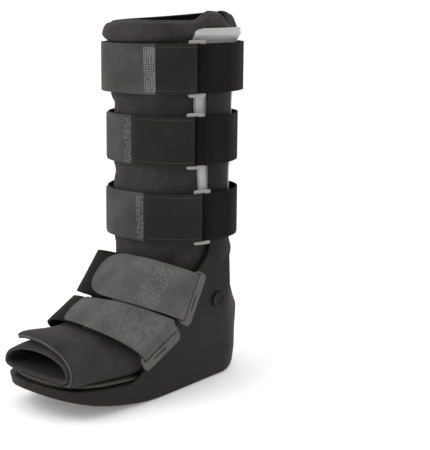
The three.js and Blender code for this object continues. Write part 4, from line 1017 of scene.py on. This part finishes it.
# %% Foot straps
def foot_strap_lines(strap, side, end, corner, lift, spread, flare):
    """From under the ring's front bar, round it and over the foot in an arch: the edge lines are
    carried from the ring to the ridge and beyond by superellipse powers of the turn. The upper
    edge stands flare of the strap's width past the ring's end and closes in by a cubic."""
    half = STRAP_WIDTH / 2
    ring_in, ring_out = SIDE_RING_SPREAD / 2, SIDE_RING_SPREAD / 2 + RING_THICKNESS
    bar_end = SIDE_RING_SLOT / 2 + SIDE_RING_FRONT_BAR
    route = np.vstack([[(bar_end + 6, ring_in - FOLD_GAP)],
                       fold_route(SIDE_RING_SLOT / 2, ring_in, ring_out, bar_end)])
    low = ring_point(strap, side, route[:, 0], half, route[:, 1])
    high = ring_point(strap, side, route[:, 0], -half, route[:, 1])
    ridge_high = np.array([0, LEG_Y - strap["top"] * FOOT_REACH - lift,
                           strap["top_up"] * INSTEP_HEIGHT + lift])
    ridge_low = np.array([0, LEG_Y - strap["low"] * FOOT_REACH - lift,
                          strap["low_up"] * INSTEP_HEIGHT + lift])
    turns = np.concatenate([np.linspace(8, end - corner, 60),
                            np.linspace(end - corner, end, 18)[1:]])
    t = np.radians(turns)
    exponent = 2 / strap["square"]
    rise = (np.sin(t) ** exponent)[:, None]
    x = side * (abs(low[-1, 0]) + spread * (1 - np.cos(t)) / 2) * power(np.cos(t), exponent)
    arch_high = high[-1] + (ridge_high - high[-1]) * rise
    arch_low = low[-1] + (ridge_low - low[-1]) * rise
    past = flare * STRAP_WIDTH * (1 - np.clip(turns / 90, 0, 1) ** 3)
    tilt = math.radians(strap["tilt"])
    arch_high += past[:, None] * np.array([0, math.cos(tilt), math.sin(tilt)])
    arch_high[:, 0] = arch_low[:, 0] = x
    into = np.clip((turns - (end - corner)) / corner, 0, 1)
    narrow = (0.42 * (1 - np.sqrt(1 - 0.98 * into**2)))[:, None]
    tip_low = arch_low + (arch_high - arch_low) * narrow
    tip_high = arch_high + (arch_low - arch_high) * narrow
    lines = np.stack([np.vstack([low, tip_low]), np.vstack([high, tip_high])], axis=1)
    return spaced(smoothed(lines), 1.6)


APART = WEBBING + 2 * FOLD_GAP
for name, strap in FOOT_STRAPS.items():
    tab_lines = foot_strap_lines(
        strap, 1, strap["tab_end"], strap["corner"], APART, APART, strap["flare"])
    base_lines = foot_strap_lines(strap, -1, 180 - strap["under"], 1, 0, -APART, 0)
    BANDS[name + "_tab"] = tab_lines
    piece(name + "_foot_tab", band_mesh(name, tab_lines, WEBBING, 0.15, 0.2), pale_webbing,
          "tab_grey", name + "_tab")
    # The base strap takes the same darkened webbing, so its tone includes the painted shade.
    piece(name + "_foot_strap", band_mesh(name, base_lines, -WEBBING, 0.2, 0.15), shade_darkened_webbing,
          "strap_dark", name + "_strap")

# %% [markdown]
# ## Thread
# A stitch is a small ellipsoid, long along the thread and half sunk into the cloth. Fields of
# stitches hold the straps together, a row of them hems each hook panel, and whip stitches bind
# the cut edges at the toes.

# %% Stitches
def stitch_mesh(name, places, along, outward, size):
    """One ellipsoid at each place: size holds its half length along the thread, half width and
    half height. Rings at four latitudes of a unit sphere, stretched along three directions."""
    along = unit(along - outward * np.sum(along * outward, axis=-1, keepdims=True))
    aside = np.cross(outward, along)
    polar = np.linspace(0, math.pi, 6)[1:-1, None]
    turn = np.linspace(0, 2 * math.pi, 6, endpoint=False)[None, :]
    ball = np.stack([np.cos(polar) + 0 * turn, np.sin(polar) * np.cos(turn),
                     np.sin(polar) * np.sin(turn)], axis=-1).reshape(-1, 3)
    ball = np.vstack([ball, [(1, 0, 0), (-1, 0, 0)]]) * size
    axes = np.stack([along, aside, outward], axis=1)
    points = places[:, None] + ball[None] @ axes
    faces = []
    for c in range(6):
        d = (c + 1) % 6
        faces += [(24, c, d), (25, 18 + d, 18 + c)]
        faces += [(6 * r + c, 6 * r + 6 + c, 6 * r + 6 + d, 6 * r + d) for r in range(3)]
    count = len(ball)
    mesh = bpy.data.meshes.new(name)
    mesh.from_pydata((points.reshape(-1, 3) * MM).tolist(), [], [
        tuple(k * count + v for v in face) for k in range(len(places)) for face in faces])
    mesh.shade_smooth()
    return mesh


def on_band(lines, run, across):
    """Place on a band's outer face, direction along the band, direction across it and outwards,
    at a run from its start and a distance from its middle."""
    middle, half, outward, length = band_frame(lines)
    where, over, off = [np.stack([np.interp(run, length, c) for c in field.T], axis=-1)
                        for field in (middle, unit(half), outward)]
    over, off = unit(over), unit(off)
    place = where + np.asarray(across)[..., None] * over + (WEBBING + 0.05) * off
    return place, unit(np.cross(over, off)), over, off


def stitch_field(name, lines, start, stop, pitch, slant, kept, size, material, slot):
    """Stitches at every pitch along and across a band, moved along it by slant times the distance
    across. A fixed random draw keeps a share of them and shifts each a little."""
    draw = np.random.default_rng(5)
    run, across = np.meshgrid(np.arange(start, stop, pitch), np.arange(-22.5, 22.6, pitch))
    run, across = run.ravel(), across.ravel()
    keep = draw.random(len(run)) < kept
    run = (run + slant * across + draw.normal(0, 0.12, len(run)))[keep]
    place, along, over, off = on_band(lines, run, across[keep])
    piece(name, stitch_mesh(name, place, over, off, size), material, slot)


for name, stop, slant, kept, cloth_thread in (
    ("top", 12.6, 0.03, 0.95, thread),
    ("middle", 10.5, 0.02, 0.6, dark_thread),
    ("lower", 9.5, 0.02, 0.75, dark_thread),
):
    stitch_field(name + "_tab_stitches", BANDS[name + "_tab"], 1.2, stop, 1.75, slant, kept,
                 (0.62, 0.42, 0.22), cloth_thread, "tab_grey")
stitch_field("ankle_tab_stitches", BANDS["ankle_tab"], 46, 70, 2.3, 0.05, 0.5,
             (0.6, 0.4, 0.2), dark_thread, "tab_grey")
stitch_field("instep_tab_stitches", BANDS["instep_tab"], 26, 92, 2.1, 0.08, 0.66,
             (0.65, 0.4, 0.2), dark_thread, "tab_grey")

# %% [markdown]
# The hook panel is hemmed near both edges by a row of long stitches, and two rows of stitches
# across the strap anchor its near end. They follow the band's own run and width.

# %% Hems and anchor rows
PANEL_LENGTH = {"top": 44, "middle": 66, "lower": 66}
HEM_PLACE, HEM_PITCH, ANCHOR_PITCH = 21.8, 2.6, 2.4
ANCHOR_RUNS = 6, 13.5
for name in CALF_STRAPS:
    lines = BANDS[name]
    total = band_frame(lines)[3][-1]
    panel = np.arange(total - PANEL_LENGTH[name], total - 1, HEM_PITCH)
    run = np.concatenate([panel, panel])
    across = np.concatenate([0 * panel + HEM_PLACE, 0 * panel - HEM_PLACE])
    place, along, over, off = on_band(lines, run, across)
    rows = np.arange(-21, 21.1, ANCHOR_PITCH)
    run = np.concatenate([0 * rows + start for start in ANCHOR_RUNS])
    anchor, _, anchor_over, anchor_off = on_band(lines, run, np.concatenate([rows, rows]))
    piece(name + "_strap_seams", stitch_mesh(
        name + "_strap_seams", np.vstack([place, anchor]), np.vstack([along, anchor_over]),
        np.vstack([off, anchor_off]), (0.85, 0.3, 0.2)), black_thread, "strap_dark")

# %% [markdown]
# The cut edges at the toes are bound with whip stitches. They follow the liner's last section,
# moved onto the flap's front edge or onto the liner's own lip.

# %% Bound toe edges
def edge_stitches(name, first, last, out, rise, forward):
    """Whip stitches along an edge at the toes: places along the liner's last section, moved off
    it, up and forward, each stitch lying along the edge."""
    turn = np.radians(np.linspace(first, last, 400))
    line = liner_point(PLACES - 1, turn, out(turn))
    line[:, 2] += rise(turn)
    line[:, 1] -= forward
    even = spaced(line[:, None], 2.5)[:, 0]
    along = unit(np.gradient(even, axis=0))
    outward = np.broadcast_to([0.0, -1.0, 0.0], even.shape)
    piece(name, stitch_mesh(name, even, along, outward, (0.9, 0.45, 0.35)), dark_thread, "liner_fabric")


def flap_off(turn):
    """Distance of the outer flap's front edge off the liner."""
    return PAD_GAP + 0.55 * FLAP_THICKNESS + FLAP_LIFT * step(turn, 0, math.pi / 2)


def flap_rise(turn):
    """Height that the outer flap's free corner curls up by."""
    return FLAP_CURL * step(turn, math.pi / 3, math.radians(124))


edge_stitches("outer_flap_binding", -28, 122, flap_off, flap_rise, 0.1)
edge_stitches("inner_lip_binding", 4, 176,
              lambda turn: 0 * turn - 0.5 * FOAM, lambda turn: 0 * turn, 1.2)

# %% [markdown]
# ## Rings and rivets
# The rings and rivets keep their CAD solids, with a small bevel that catches the light.

# %% Rings and rivets
for name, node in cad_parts.items():
    ring = name.endswith("_ring") or "_ring_" in name and not name.endswith("loop")
    if ring or name.startswith("rivet"):
        material = ring_plastic if "_ring_" in name else calf_ring_plastic
        if name.startswith("rivet"):
            material = shell_plastic
        for index in range(max(len(node.material_slots), 1)):
            if node.material_slots:
                node.material_slots[index].material = material
        weld = node.modifiers.new("weld", "WELD")
        weld.merge_threshold = 0.00002
        bevel = node.modifiers.new("bevel", "BEVEL")
        bevel.width = 0.0005
        bevel.segments = 2
        bevel.limit_method = "ANGLE"
        bevel.angle_limit = math.radians(40)
